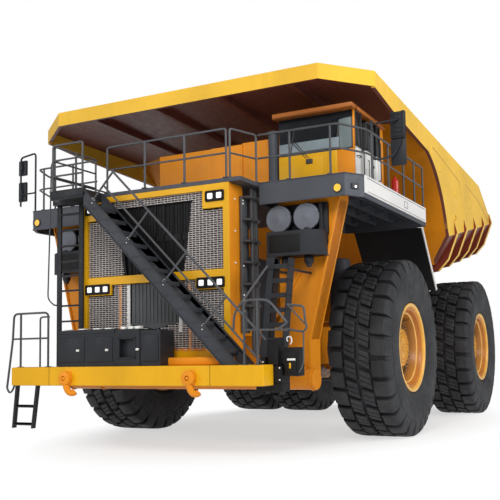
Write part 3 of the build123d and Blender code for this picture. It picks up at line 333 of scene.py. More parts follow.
def recoat(material, share, colour):
    """A second colour over a paint, where share(tree, place, facing) comes out as 1."""
    tree = material.node_tree
    coords = add(tree, "TexCoord").outputs
    amount = share(tree, split(tree, coords["Object"]), split(tree, coords["Normal"]))
    first = tree.nodes["Principled BSDF"].inputs["Base Color"].links[0].from_socket
    shade(tree, {"Base Color": mix(tree, amount, first, tone(colour))})


def highest(tree, first, *others):
    """The largest of several values."""
    for other in others:
        first = maths(tree, "MAXIMUM", first, other)
    return first


def under_canopy(tree, place, facing):
    """1 on all of the canopy but its top, its lip's face and its outer edges: where it gets painted shade.
    """
    from_middle = maths(tree, "ABSOLUTE", place["X"])
    yellow = highest(tree, ramp(tree, facing["Z"], 0.2, 0.4), ramp(tree, facing["Y"], -0.2, -0.3),
                     ramp(tree, place["Y"], station(-3.19), station(-3.21)),
                     ramp(tree, from_middle, 3.97, 3.99))
    return ramp(tree, yellow, 0, 1, 1, 0)


def forward_or_down(tree, place, facing):
    """1 on faces that look forward or down: where the ribs get painted shade."""
    return highest(tree, ramp(tree, facing["Y"], -0.45, -0.75), ramp(tree, facing["Z"], -0.85, -0.95))


def rim_paint_and_light(name, axle):
    """Rim paint by the distance from the axle: gold paint with bright rings of painted highlight on the
    lips, a darker orange band, and a dish browned by painted shade.
    """
    material, tree, place, _ = blank(name)
    centred = {"Vector": place, "Location": (0, -station(axle), -HUB_HEIGHT), "Scale": (0, 1, 1)}
    flat = add(tree, "Mapping", centred).outputs["Vector"]
    radius = add(tree, "VectorMath", {0: flat}, operation="LENGTH").outputs["Value"]
    rings = add(tree, "ValToRGB", {"Fac": radius})
    # The bright stops near 0.722 and 0.93 are painted highlight on the lips; the brown stops from 0.425 to
    # 0.66 are painted shade in the dish.
    stops = [(0.0, (0.74, 0.36, 0.035)), (0.405, (0.70, 0.33, 0.03)), (0.425, (0.17, 0.09, 0.04)),
             (0.66, (0.22, 0.11, 0.045)), (0.712, (0.55, 0.22, 0.03)), (0.722, (0.95, 0.60, 0.16)),
             (0.745, (0.90, 0.52, 0.10)), (0.765, (0.50, 0.17, 0.02)), (0.845, (0.56, 0.20, 0.02)),
             (0.865, (0.86, 0.44, 0.05)), (0.93, (0.95, 0.60, 0.16)), (0.96, (0.62, 0.25, 0.03))]
    band = rings.color_ramp
    while len(band.elements) < len(stops):
        band.elements.new(0.5)
    for element, (distance, colour) in zip(band.elements, stops):
        element.position = distance
    for element, (distance, colour) in zip(band.elements, stops):
        element.color = tone(colour)
    clouds = ramp(tree, noise(tree, place, 3.0, 5), 0.35, 0.7, 0, 0.35)
    shade(tree, {"Base Color": mix(tree, clouds, rings.outputs["Color"], (0.34, 0.13, 0.015, 1)),
                 "Roughness": 0.36, "Normal": bump(tree, noise(tree, place, 160, 2), 0.12, 0.002)})
    return material


# Painted shade: brown under the canopy, and dark red-brown on the ribs' forward and downward faces.
recoat(finish["canopy_paint"], under_canopy, PAINTED_SHADE_BROWN)
recoat(finish["rib_paint"], forward_or_down, (0.20, 0.034, 0.017))
for end, axle in (("front", 0.0), ("rear", REAR_AXLE)):
    finish[end + "_rim_paint_and_light"] = rim_paint_and_light(end + "_rim_paint_and_light", axle)
# The cab frame, boxes, ladders and stair take darker copies of their paint: painted shade.
better = {"bed_canopy": "canopy_paint", "bed_ribs": "rib_paint", "cab_shell": "orange_painted_shade",
          "equipment_box": "box_grey_painted_shade", "box_lid": "box_grey_painted_shade", "front_stair": "stair_grey_painted_shade",
          "boarding_ladder": "box_grey_painted_shade", "low_steps": "box_grey_painted_shade"}
for node, solid in nodes.items():
    solid.data.materials.clear()
    solid.data.materials.append(finish[better.get(node, slot_of[node])])
print("finishes:", len(finish))

# %% [markdown]
# ## Mesh helpers
#
# New pieces are arrays of points with quads between them. A grid of points gives a
# lathe, a swept tube or a tread block, depending on how its two parameters run. Struts,
# hoist stages, caps and bolt heads are all turned shapes, so one function carries a
# profile of (distance, radius) round any axis. Y is measured from the front axle.

# %% Mesh helpers
made = {}
LEFT, FORWARD, REARWARD = (1, 0, 0), (0, -1, 0), (0, 1, 0)
UP, DOWN = (0, 0, 1), (0, 0, -1)


def grid_quads(rows, columns, close_rows=False, close_columns=False):
    """Quads between neighbouring points of a grid, numbered row by row."""
    row = np.arange(rows if close_rows else rows - 1)
    column = np.arange(columns if close_columns else columns - 1)
    r, c = np.meshgrid(row, column, indexing="ij")
    below, beside = (r + 1) % rows, (c + 1) % columns
    corners = [r * columns + c, r * columns + beside, below * columns + beside, below * columns + c]
    return np.stack(corners, -1).reshape(-1, 4)


def many(points, quads):
    """Copies of one patch: points of shape (copies, n, 3) and the same quads for each."""
    shift = np.arange(len(points))[:, None, None] * points.shape[1]
    return points.reshape(-1, 3), (quads[None] + shift).reshape(-1, 4)


def gather(parts):
    """Several (points, quads) pairs as one pair."""
    shift, points, quads = 0, [], []
    for some_points, some_quads in parts:
        points.append(some_points)
        quads.append(some_quads + shift)
        shift += len(some_points)
    return np.concatenate(points), np.concatenate(quads)


def place_mesh(name, mesh, slot, body, stands_for, look, crease):
    """The object of a mesh: smooth but for its creases, with its finish, taken from its look or else its
    slot, and its body.
    """
    mesh.polygons.foreach_set("use_smooth", np.ones(len(mesh.polygons), dtype=bool))
    mesh.set_sharp_from_angle(angle=radians(crease))
    mesh.materials.clear()
    mesh.materials.append(finish[look or slot])
    thing = bpy.data.objects.new(name, mesh)
    bpy.context.collection.objects.link(thing)
    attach(thing, body)
    if stands_for:
        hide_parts(*stands_for)
    made[name] = len(mesh.polygons)
    return thing


def add_piece(name, parts, slot="dark_grey_paint", stands_for=(), look=None, body="chassis", crease=34,
              outward=True):
    """An object from (points, quads) parts: doubles merged, normals outward, edges creased.

    The parts measure Y from the front axle. The sum of their points and the axle's own
    place puts them in the frame.
    """
    points, quads = gather(parts)
    mesh = bpy.data.meshes.new(name)
    mesh.from_pydata((points + (0, AXLE_Y, 0)).tolist(), [], quads.tolist())
    work = bmesh.new()
    work.from_mesh(mesh)
    bmesh.ops.remove_doubles(work, verts=work.verts, dist=1e-5)
    bmesh.ops.dissolve_degenerate(work, dist=1e-6, edges=work.edges)
    if outward:
        bmesh.ops.recalc_face_normals(work, faces=work.faces)
    work.to_mesh(mesh)
    work.free()
    return place_mesh(name, mesh, slot, body, stands_for, look, crease)


def steps_round(count):
    """Angles in equal steps round a circle."""
    return np.arange(count) / count * 2 * np.pi


def circle_on(axis, count):
    """Points of a circle of radius 1 that stands square to an axis."""
    side = np.cross(axis, np.eye(3)[int(np.argmin(np.abs(axis)))])
    side /= np.linalg.norm(side)
    angle = steps_round(count)[:, None]
    return np.cos(angle) * side + np.sin(angle) * np.cross(axis, side)


def ring_of(centre, radius, count, axes, start=0.0):
    """Points in equal steps round a circle in the plane of two axes, numbered 0 to 2."""
    points = np.tile(np.array(centre, float), (count, 1))
    angle = steps_round(count) + start
    points[:, axes[0]] += radius * np.cos(angle)
    points[:, axes[1]] += radius * np.sin(angle)
    return points


def lathe(profile, centre, segments):
    """A profile of (x, radius) turned about a level axle through the centre."""
    x, radius = np.array(profile, float).T
    a, r = np.meshgrid(steps_round(segments), radius, indexing="ij")
    across = np.broadcast_to(x, a.shape)
    points = np.stack([across, r * np.sin(a), r * np.cos(a)], -1) + np.array(centre)
    return points.reshape(-1, 3), grid_quads(segments, len(x), close_rows=True)


def rounded(points, radius, steps=5):
    """A polyline with each corner replaced by a short curve that starts a radius away.

    Each corner becomes a quadratic curve between the points at that distance on its runs.
    """
    points = np.array(points, float)
    if len(points) < 3 or radius <= 0:
        return points
    corner = points[1:-1]
    before, after = points[:-2] - corner, points[2:] - corner
    reach_in = np.linalg.norm(before, axis=1, keepdims=True)
    reach_out = np.linalg.norm(after, axis=1, keepdims=True)
    start = corner + before / reach_in * np.minimum(radius, reach_in * 0.49)
    end = corner + after / reach_out * np.minimum(radius, reach_out * 0.49)
    t = np.linspace(0, 1, steps)[None, :, None]
    curve = (1 - t) ** 2 * start[:, None] + 2 * t * (1 - t) * corner[:, None] + t ** 2 * end[:, None]
    return np.concatenate([points[:1], curve.reshape(-1, 3), points[-1:]])


def tube(path, radius, bend=0.0, sides=10):
    """A round tube carried along a path, with closed ends.

    Each ring stands square to the mean of its two runs; the side direction is kept
    as near as it can be to the one before by leaning on one fixed reference axis.
    """
    line = rounded(path, bend)
    runs = np.diff(line, axis=0)
    runs /= np.linalg.norm(runs, axis=1, keepdims=True)
    way = np.concatenate([runs[:1], runs[:-1] + runs[1:], runs[-1:]])
    way /= np.linalg.norm(way, axis=1, keepdims=True)
    reference = np.eye(3)[int(np.argmin(np.abs(way).max(axis=0)))]
    side = np.cross(way, reference)
    side /= np.linalg.norm(side, axis=1, keepdims=True)
    other = np.cross(way, side)
    angle = steps_round(sides)[None, :, None]
    ring = np.cos(angle) * side[:, None] + np.sin(angle) * other[:, None]
    body = line[:, None] + ring * radius
    points = np.concatenate([np.repeat(line[:1, None], sides, 1), body,
                             np.repeat(line[-1:, None], sides, 1)])
    return points.reshape(-1, 3), grid_quads(len(line) + 2, sides, close_columns=True)


BOX_CORNERS = np.array([(x, y, z) for x in (0, 1) for y in (0, 1) for z in (0, 1)], float)
BOX_QUADS = np.array([(0, 1, 3, 2), (4, 6, 7, 5), (0, 4, 5, 1), (2, 3, 7, 6), (0, 2, 6, 4), (1, 5, 7, 3)])


def boxes(limits):
    """Boxes from rows of (x0, x1, y0, y1, z0, z1)."""
    limits = np.array(limits, float)
    low, high = limits[:, 0::2], limits[:, 1::2]
    points = low[:, None] + BOX_CORNERS[None] * (high - low)[:, None]
    return many(points, BOX_QUADS)


def prism(outline, low, high, axis):
    """A flat outline carried along an axis; the outline's two numbers are the other axes."""
    outline = np.array(outline, float)
    count = len(outline)
    middle = outline.mean(axis=0)
    rings = []
    for level, shape in ((low, middle), (low, outline), (high, outline), (high, middle)):
        flat = np.broadcast_to(shape, (count, 2))
        rings.append(np.insert(flat, axis, level, axis=1))
    return np.concatenate(rings), grid_quads(4, count, close_columns=True)


def turned(profile, base, axis, segments=40):
    """A profile of (distance along the axis, radius) turned about it, from a base point."""
    axis = np.array(axis, float) / np.linalg.norm(axis)
    along, radius = np.array(profile, float).T[:, :, None, None]
    points = np.array(base, float) + along * axis + circle_on(axis, segments)[None] * radius
    return points.reshape(-1, 3), grid_quads(len(along), segments, close_columns=True)


def studs(centres, axis, radius, height, sides=6):
    """Bolt heads on a face: hexagons with a chamfered crown, pointing along the axis."""
    profile = [(-0.1 * height, radius), (0.8 * height, radius), (height, 0.82 * radius), (height, 0)]
    return gather([turned(profile, centre, axis, sides) for centre in centres])


def mirrored(part):
    """The same points on the truck's other side, with the quads turned over."""
    points, quads = part
    return points * np.array([-1, 1, 1]), quads[:, ::-1]


def both(parts):
    """Parts on the left, and the same parts mirrored to the right."""
    return list(parts) + [mirrored(part) for part in parts]


def softened(node, width):
    """A copy of a CAD node with its flat faces merged and its edges rounded off."""
    mesh, name = nodes[node].data.copy(), node + "_softened"
    mesh.name = name
    work = bmesh.new()
    work.from_mesh(mesh)
    bmesh.ops.remove_doubles(work, verts=work.verts, dist=2e-5)
    bmesh.ops.dissolve_limit(work, angle_limit=radians(1), verts=work.verts, edges=work.edges)
    work.to_mesh(mesh)
    work.free()
    plate = place_mesh(name, mesh, slot_of[node], body_of[node], (node,), better.get(node), 40)
    rounding = plate.modifiers.new("edge_rounding", "BEVEL")
    rounding.width = width
    rounding.segments = 2
    rounding.limit_method = "ANGLE"
    rounding.angle_limit = radians(30)
    rounding.harden_normals = True


# %% [markdown]
# ## Floor, sky and lamps
#
# The photograph is a cut-out on white with a soft grey shadow. The floor adds a
# little light of its own only as the camera sees it, so it reads as white while it
# still takes the truck's shadow. Three broad lamps and an even sky light the plates.

# %% Floor, sky and lamps


def white_floor():
    """Pale floor: plain diffuse for the truck's light, part white for the camera.

    The white share grows with the distance from the truck, taken in an oval whose
    half axes are a little more than the truck's half width and half length.
    """
    size = 60.0
    mesh = bpy.data.meshes.new("studio_floor")
    mesh.from_pydata([(-size, -size, 0), (size, -size, 0), (size, size, 0), (-size, size, 0)], [],
                     [(0, 1, 2, 3)])
    floor = bpy.data.objects.new("studio_floor", mesh)
    bpy.context.collection.objects.link(floor)
    material = bpy.data.materials.new("studio_floor")
    material.use_nodes = True
    tree = material.node_tree
    tree.nodes.clear()
    rays = add(tree, "LightPath").outputs
    seen = maths(tree, "MAXIMUM", rays["Is Camera Ray"], rays["Is Glossy Ray"])
    place = add(tree, "TexCoord").outputs["Object"]
    oval = add(tree, "Mapping", {"Vector": place, "Scale": (1 / 4.6, 1 / 7.6, 0)}).outputs["Vector"]
    reach = add(tree, "VectorMath", {0: oval}, operation="LENGTH").outputs["Value"]
    share = maths(tree, "MULTIPLY", seen, ramp(tree, reach, 0.8, 1.12, 0.6, 1.0))
    ground = add(tree, "BsdfDiffuse", {"Color": (0.86, 0.85, 0.84, 1)}).outputs[0]
    white = add(tree, "Emission", {"Color": (1, 1, 1, 1)}).outputs[0]
    add(tree, "OutputMaterial", {0: add(tree, "MixShader", {0: share, 1: ground, 2: white}).outputs[0]})
    mesh.materials.append(material)


def sky(strength):
    """Even pale sky that the camera sees as plain white."""
    world = bpy.data.worlds.new("studio_sky")
    bpy.context.scene.world = world
    world.use_nodes = True
    tree = world.node_tree
    tree.nodes.clear()
    level = ramp(tree, add(tree, "LightPath").outputs["Is Camera Ray"], 0, 1, strength, 1)
    light = add(tree, "Background", {"Color": (1, 1, 1, 1), "Strength": level}).outputs[0]
    add(tree, "OutputWorld", {0: light})


def softbox(name, place, target, size, power, colour=(1, 1, 1)):
    """Square area lamp that looks at a target."""
    light = bpy.data.lights.new(name, "AREA")
    light.energy = power
    light.size = size
    light.color = colour
    lamp = bpy.data.objects.new(name, light)
    aim = Vector(target) - Vector(place)
    lamp.matrix_world = Matrix.Translation(place) @ aim.to_track_quat("-Z", "Y").to_matrix().to_4x4()
    bpy.context.collection.objects.link(lamp)


white_floor()
sky(0.42)
softbox("key_lamp", (9, -24, 16), (0, -3, 3), 9, 3000, (1, 0.985, 0.96))
softbox("side_lamp", (24, -4, 13), (2, 1, 3), 10, 2400)
softbox("front_lamp", (-12, -22, 8), (0, -5, 3), 8, 600)
bpy.context.scene.view_settings.view_transform = "Standard"

# %% [markdown]
# ## Tyres
#
# The tread has four staggered rows of blocks, brick fashion. The shoulder blocks run
# over the edge and fade into the wall. Each block is a grid: one parameter goes round
# the tyre and one goes across it. A height factor lifts the middle of the grid to the
# tread and leaves its rim on the groove floor, so the block gets sloped sides and a
# small chamfer. The centre blocks also have two shallow cross cuts.

# %% Tyre carcass and tread blocks
PITCHES = 28
TREAD_RADIUS, GROOVE_RADIUS = 1.889, 1.788
HALF_CARCASS = [(0.0, 1.795), (0.30, 1.793), (0.46, 1.785), (0.56, 1.755), (0.612, 1.69),
                (0.645, 1.60), (0.655, 1.57), (0.664, 1.565), (0.666, 1.545), (0.661, 1.535),
                (0.668, 1.47), (0.671, 1.40), (0.667, 1.31), (0.653, 1.20), (0.634, 1.11),
                (0.628, 1.085), (0.632, 1.07), (0.626, 1.05), (0.606, 1.005), (0.580, 0.972),
                (0.552, 0.958), (0.538, 0.94), (0.5, 0.80)]
SHOULDER_TOP = [(0.285, 1.889), (0.30, 1.889), (0.33, 1.889), (0.47, 1.886), (0.56, 1.873),
                (0.600, 1.838), (0.628, 1.75), (0.648, 1.66), (0.655, 1.60)]
SHOULDER_FOOT = [(0.285, 1.788), (0.30, 1.788), (0.33, 1.787), (0.46, 1.778), (0.55, 1.75),
                 (0.595, 1.70), (0.622, 1.64), (0.642, 1.59), (0.652, 1.56)]
SHOULDER_LIFT = [0, 0.9, 1, 1, 1, 1, 1, 0.8, 0.2]
ROUND_STEPS = np.array([0, 0.035, 0.075, 0.33, 0.67, 0.925, 0.965, 1.0])
ROUND_LIFT = np.array([0, 0.9, 1, 1, 1, 1, 0.9, 0])
CUT_STEPS = np.array([0, 0.035, 0.075, 0.30, 0.325, 0.355, 0.38, 0.62, 0.645, 0.675, 0.70,
                      0.925, 0.965, 1.0])
CUT_LIFT = np.array([0, 0.9, 1, 1, 0.78, 0.78, 1, 1, 0.78, 0.78, 1, 1, 0.9, 0])
ACROSS_LIFT = np.array([0, 0.9, 1, 1, 1, 0.9, 0])


def tread_row(top, foot, across_lift, round_steps, round_lift, offset, lean, fill=0.8):
    """One row of blocks: (pitches, round, across) points from foot to top by the lift.

    The angle of a point is its pitch plus the step along the block, less a lean that
    grows with the distance across, which slants the block's ends.
    """
    top, foot = np.array(top, float), np.array(foot, float)
    turn = 2 * np.pi / PITCHES
    pitch = np.arange(PITCHES)[:, None, None] + offset
    step = (round_steps[None, :, None] - 0.5) * fill
    middle = top[:, 0].mean()
    angle = (pitch + step) * turn - lean * (top[:, 0] - middle)[None, None, :]
    lift = np.minimum(round_lift[:, None], np.array(across_lift)[None, :])[None]
    x = foot[:, 0] + (top[:, 0] - foot[:, 0]) * lift
    radius = foot[:, 1] + (top[:, 1] - foot[:, 1]) * lift
    x, radius = np.broadcast_to(x, angle.shape), np.broadcast_to(radius, angle.shape)
    points = np.stack([x, radius * np.sin(angle), radius * np.cos(angle)], -1)
    return many(points.reshape(PITCHES, -1, 3), grid_quads(len(round_steps), len(top)))


def centre_row(x_low, x_high, offset, lean):
    """A row of centre blocks between two distances across, with two cross cuts each."""
    share = np.array([0, 0.07, 0.13, 0.5, 0.87, 0.93, 1.0])
    x = x_low + (x_high - x_low) * share
    top, foot = (np.stack([x, np.full(len(x), radius)], -1) for radius in (TREAD_RADIUS, GROOVE_RADIUS))
    return tread_row(top, foot, ACROSS_LIFT, CUT_STEPS, CUT_LIFT, offset, lean)


def tyre_mesh():
    """Carcass and the four rows of blocks, about an axle through the origin."""
    profile = [(-x, r) for x, r in HALF_CARCASS[::-1]] + HALF_CARCASS[1:] + [(-0.5, 0.80)]
    shoulder, far = (tread_row(SHOULDER_TOP, SHOULDER_FOOT, SHOULDER_LIFT, ROUND_STEPS, ROUND_LIFT, *way)
                     for way in ((0, 0.05), (0.5, -0.05)))
    rows = [shoulder, mirrored(far), centre_row(0.02, 0.275, 0.5, 0.22),
            centre_row(-0.275, -0.02, 0.0, 0.22)]
    return gather([lathe(profile, (0, 0, 0), PITCHES * 4)] + rows)


FRONT_HUB_X, REAR_HUB_X = 3.22, (1.645, 3.29)
tyre_points, tyre_quads = tyre_mesh()
for end, places, axle, plural in (("front", (FRONT_HUB_X,), 0.0, ""), ("rear", REAR_HUB_X, REAR_AXLE, "s")):
    left = [(tyre_points + np.array([x, axle, HUB_HEIGHT]), tyre_quads) for x in places]
    for side, tyres in (("left", left), ("right", [mirrored(tyre) for tyre in left[::-1]])):
        name = end + "_" + side
        add_piece(name + "_tyre" + plural + "_tread", tyres, "rubber_tyre", (name + "_tyre" + plural,),
                  body=name + "_wheel" + plural, crease=30, outward=False)
print("tyre quads:", len(tyre_quads))

# %% [markdown]
# ## Rims
#
# A haul truck's rim is a heavy ring with a rolled flange and a separate lock ring.
# Behind it the dish falls deep to the hub, which a circle of nuts holds. A lathe gives
# all of it from one profile. The nuts are small hexagons on circles, and twelve thin
# fins join the hub to the dish.

# %% Rims
# Where the tyre sits: the distance from its middle and from the axle.
SEAT = (0.5012, 0.7997)
# Circles of nuts: how many, distance from the axle, depth in the rim, head's radius and height.
NUT_CIRCLES = [(40, 0.63, 0.27, 0.021, 0.035), (24, 0.33, 0.372, 0.016, 0.02),
               (20, 0.25, 0.372, 0.015, 0.016), (8, 0.07, 0.385, 0.013, 0.012)]


def rim_mesh(x, axle, inner):
    """Left rim about its axle: rolled flange, lock ring, dish, hub and its nuts."""
    face = [(0.385, 0.0), (0.385, 0.10), (0.372, 0.11), (0.372, 0.36), (0.36, 0.395),
            (0.29, 0.41), (0.27, 0.44), (0.27, 0.665), (0.285, 0.685), (0.43, 0.712),
            (0.452, 0.722), (0.458, 0.738), (0.447, 0.752), (0.447, 0.768), (0.475, 0.785),
            (0.528, 0.797), (0.54, 0.812), (0.528, 0.832), (0.532, 0.852), (0.562, 0.865),
            (0.578, 0.88), (0.589, 0.903), (0.591, 0.925), (0.587, 0.945), (0.570, 0.951),
            (0.555, 0.945), (0.545, 0.925), (0.520, 0.84), SEAT]
    profile = [(x + px, r) for px, r in face]
    back = inner - SEAT[0]
    profile += [(back, SEAT[1]), (back - 0.04, 0.951), (back - 0.09, 0.951), (back - 0.088, 0.86)]
    bore = 0.34 if inner == x else 0.51
    profile += [(back - 0.088, bore), (x - 0.04, bore), (x - 0.04, 0.0)]
    ring = lathe(profile, (0, axle, HUB_HEIGHT), 96)

    def spot(depth, radius, angle):
        """Points by their depth in the rim, distance from the axle and angle round it."""
        return np.stack([np.full_like(angle, x + depth), axle + radius * np.sin(angle),
                         HUB_HEIGHT + radius * np.cos(angle)], -1)

    parts = [ring]
    for count, radius, depth, size, height in NUT_CIRCLES:
        parts.append(studs(spot(depth, radius, steps_round(count)), LEFT, size, height))
    parts += [tube([spot(0.34, 0.40, t), spot(0.28, 0.60, t)], 0.018, 0, 6) for t in steps_round(12)]
    valve = radians(28)
    stem = [spot(0.26, 0.65, valve), spot(0.34, 0.66, valve), spot(0.42, 0.69, valve)]
    return gather(parts + [tube(stem, 0.011, 0.02, 8)])


for end, x, axle, inner, suffix in (("front", FRONT_HUB_X, 0.0, FRONT_HUB_X, "wheel"),
                                    ("rear", REAR_HUB_X[1], REAR_AXLE, REAR_HUB_X[0], "wheels")):
    left = rim_mesh(x, axle, inner)
    for side, rim in (("left", left), ("right", mirrored(left))):
        name = end + "_" + side
        add_piece(name + "_dish", [rim], "orange_paint", (name + "_rim",), end + "_rim_paint_and_light",
                  name + "_" + suffix)
print("rims made:", [name for name in made if "dish" in name])

# %% [markdown]
# ## Plates with softened edges
#
# Most of the truck is welded plate. Its CAD shape is right as it is, and all that it
# lacks is an edge that catches the light. A bevel of 4 to 30 millimetres, on a copy of
# the mesh whose flat faces are merged first, gives that edge without moving a face.

# %% Soften the plates
PLATES = [("main_frame", 0.012), ("bumper", 0.022), ("radiator_frame", 0.010),
          ("front_collar", 0.010), ("control_cabinet", 0.014), ("side_tanks", 0.03),
          ("cab_shell", 0.008), ("cab_door", 0.006), ("side_decks", 0.010),
          ("deck_centre", 0.006), ("deck_side_panels", 0.004), ("left_knuckle", 0.012),
          ("right_knuckle", 0.012), ("engine_block", 0.03),
          ("bed_sills", 0.010), ("bed_front_wall", 0.008), ("bed_canopy", 0.010),
          ("bed_floor", 0.008), ("bed_left_side", 0.008), ("bed_right_side", 0.008),
          ("bed_ribs", 0.012), ("equipment_box", 0.008), ("box_lid", 0.008), ("front_stair", 0.005)]
for node, width in PLATES:
    softened(node, width)
print("softened plates:", len(PLATES))

# %% [markdown]
# ## Radiator guard
#
# The guard is woven from crimped wire: the level wires dip behind every other upright
# and come forward over the next, so from a few metres away they read as rows of
# dashes. A level wire is a sine wave whose crests shift by one upright from row to
# row. A dark fan opening interrupts the upper panel and a ribbed cover the lower one,
# and each wire runs only where the panel's outline lets it.

# %% Woven guard
GUARD_Y = -4.035
UPRIGHT_PITCH, LEVEL_PITCH = 0.078, 0.041
SAMPLES_X, SAMPLES_Z = 600, 300


def wire(line, radius, sides=5):
    """A thin wire along a line that stays near one axis, closed at both ends."""
    lead = line[-1] - line[0]
    lead = lead / np.linalg.norm(lead)
    side = np.cross(lead, REARWARD)
    angle = steps_round(sides)[:, None]
    ring = np.cos(angle) * side + np.sin(angle) * np.array(REARWARD)
    sizes = np.concatenate([[0], np.full(len(line), radius), [0]])
    path = np.concatenate([line[:1], line, line[-1:]])
    points = path[:, None] + ring[None] * sizes[:, None, None]
    return points.reshape(-1, 3), grid_quads(len(path), sides, close_columns=True)


def runs_of(inside, step):
    """Start and end places of each unbroken run of True along a sampled line."""
    edge = np.diff(np.concatenate([[0], inside.astype(int), [0]]))
    starts, ends = np.flatnonzero(edge == 1), np.flatnonzero(edge == -1) - 1
    return [(step[a], step[b]) for a, b in zip(starts, ends) if step[b] - step[a] > 0.05]


def woven(x_limits, z_limits, open_at):
    """Level and upright wires over a panel, left out where open_at(x, z) is true."""
    wires = []
    sample_x = np.linspace(*x_limits, SAMPLES_X)
    sample_z = np.linspace(*z_limits, SAMPLES_Z)
    for row, z in enumerate(np.arange(z_limits[0] + 0.03, z_limits[1], LEVEL_PITCH)):
        for x0, x1 in runs_of(~open_at(sample_x, np.full(SAMPLES_X, z)), sample_x):
            x = np.arange(x0, x1, UPRIGHT_PITCH / 4)
            dip = 0.011 * np.cos(np.pi * (x / UPRIGHT_PITCH + row))
            line = np.stack([x, GUARD_Y + dip, np.full(len(x), z)], -1)
            wires.append(wire(line, 0.0092, 4))
    for x in np.arange(x_limits[0] + 0.02, x_limits[1], UPRIGHT_PITCH):
        for z0, z1 in runs_of(~open_at(np.full(SAMPLES_Z, x), sample_z), sample_z):
            wires.append(wire(np.array([(x, GUARD_Y, z0), (x, GUARD_Y, z1)]), 0.006))
    return wires


def fan_opening(x, z):
    """Trapezoid in the upper panel, wider at its top, and the two lamp corners."""
    share = (z - 3.38) / (4.72 - 3.38)
    trapezoid = (np.abs(x) < 0.69 + 0.19 * share) & (z < 4.70)
    lamps = (np.abs(x) > 1.12) & (z > 4.47)
    return trapezoid | lamps


def ribbed_cover(x, z):
    """The lower panel's cover, with its point at the bottom, and the lamp corners."""
    cover = (np.abs(x) < 0.56) & (z > 2.30 + 0.22 * np.abs(x))
    lamps = (np.abs(x) > 0.96) & (z > 2.99)
    return cover | lamps


guard = woven((-1.57, 1.57), (3.37, 4.84), fan_opening) + woven((-1.57, 1.57), (1.89, 3.21), ribbed_cover)
add_piece("woven_guard", guard, "silver_mesh", ("guard_grille",), crease=60)
print("wires:", len(guard))

# %% [markdown]
# ## Behind the guard
#
# Fins and tubes of the cooler stand behind the wire as thin dark uprights. In the
# upper opening is the fan's frame, and in the lower one a grey cover with pressed
# ribs, flanked by two white and two orange strips.

# %% Cooler fins, fan frame and cover
CORE_FACE = -3.98
fins = [(x, x + 0.012, CORE_FACE - 0.012, CORE_FACE + 0.01, z0, z1)
        for z0, z1 in ((1.90, 3.20), (3.38, 4.83)) for x in np.arange(-1.55, 1.55, 0.062)]
add_piece("cooler_fins", [boxes(fins)], "black_metal")

face = -4.03
frame_parts = both([prism([(0.83, 4.70), (0.88, 4.70), (0.69, 3.37), (0.65, 3.37)], face, face + 0.04, 1)])
frame_parts += [prism([(-0.88, 4.73), (0.88, 4.73), (0.87, 4.69), (-0.87, 4.69)], face, face + 0.04, 1),
                prism([(-0.80, 4.10), (0.80, 4.10), (0.77, 3.98), (-0.77, 3.98)],
                      face + 0.03, face + 0.05, 1)]
frame_parts += [boxes([(x, x + 0.025, face + 0.03, face + 0.05, 3.38, 4.68)
                       for x in np.arange(-0.60, 0.61, 0.20)])]
add_piece("fan_frame", frame_parts, "black_metal")
cover = [prism([(-0.53, 3.20), (0.53, 3.20), (0.53, 2.42), (0.0, 2.32), (-0.53, 2.42)],
               face + 0.01, face + 0.03, 1)]
cover += [boxes([(x, x + 0.018, face - 0.004, face + 0.02, 2.44, 3.19)
                 for x in np.arange(-0.46, 0.50, 0.085)])]
cover += [boxes([(-0.53, 0.53, face - 0.002, face + 0.02, z, z + 0.014) for z in (2.62, 2.90)])]
add_piece("cooler_cover", cover, look="cover_grey")
white = [(s * 0.60 - 0.035, s * 0.60 + 0.035, face - 0.01, face + 0.01, 2.25, 3.20) for s in (-1, 1)]
add_piece("cover_edges", [boxes(white)], "white_paint")
orange = [(s * 0.80 - 0.025, s * 0.80 + 0.025, face - 0.005, face + 0.02, 1.90, 3.20) for s in (-1, 1)]
orange += [(-1.56, 1.56, face - 0.01, face + 0.02, 1.89, 1.94)]
add_piece("guard_stiffeners", [boxes(orange)], "orange_paint")

# %% [markdown]
# ## Lamps in the radiator corners
#
# Each group of lamps sits in one black surround with rounded ends. The lenses are
# rounded squares about level with its rim. Both come from one helper: a rounded
# rectangle, stepped inwards and outwards like a very low lathe.

# %% Corner lamps
QUARTER_TURN = np.array([[0, -1], [1, 0]])


def rounded_square(centre, half_x, half_z, corner, levels, sides=6):
    """Rounded rectangles facing the front: rows of (inset, depth) about one centre."""
    angle = np.linspace(0, np.pi / 2, sides)
    quarter = np.stack([np.cos(angle), np.sin(angle)], -1)
    rings = []
    for inset, depth in levels:
        radius = max(corner - inset, 0.0005)
        hx, hz = half_x - inset - radius, half_z - inset - radius
        ring = []
        for k, (sx, sz) in enumerate(((1, 1), (-1, 1), (-1, -1), (1, -1))):
            arc = quarter @ np.linalg.matrix_power(QUARTER_TURN, k).T * radius
            ring.append(arc + (sx * max(hx, 0), sz * max(hz, 0)))
        flat = np.concatenate(ring)
        rings.append(np.stack([centre[0] + flat[:, 0], np.full(len(flat), centre[1] + depth),
                               centre[2] + flat[:, 1]], -1))
    rings.append(np.broadcast_to(rings[-1].mean(axis=0), rings[-1].shape))
    return np.concatenate(rings), grid_quads(len(rings), 4 * sides, close_columns=True)


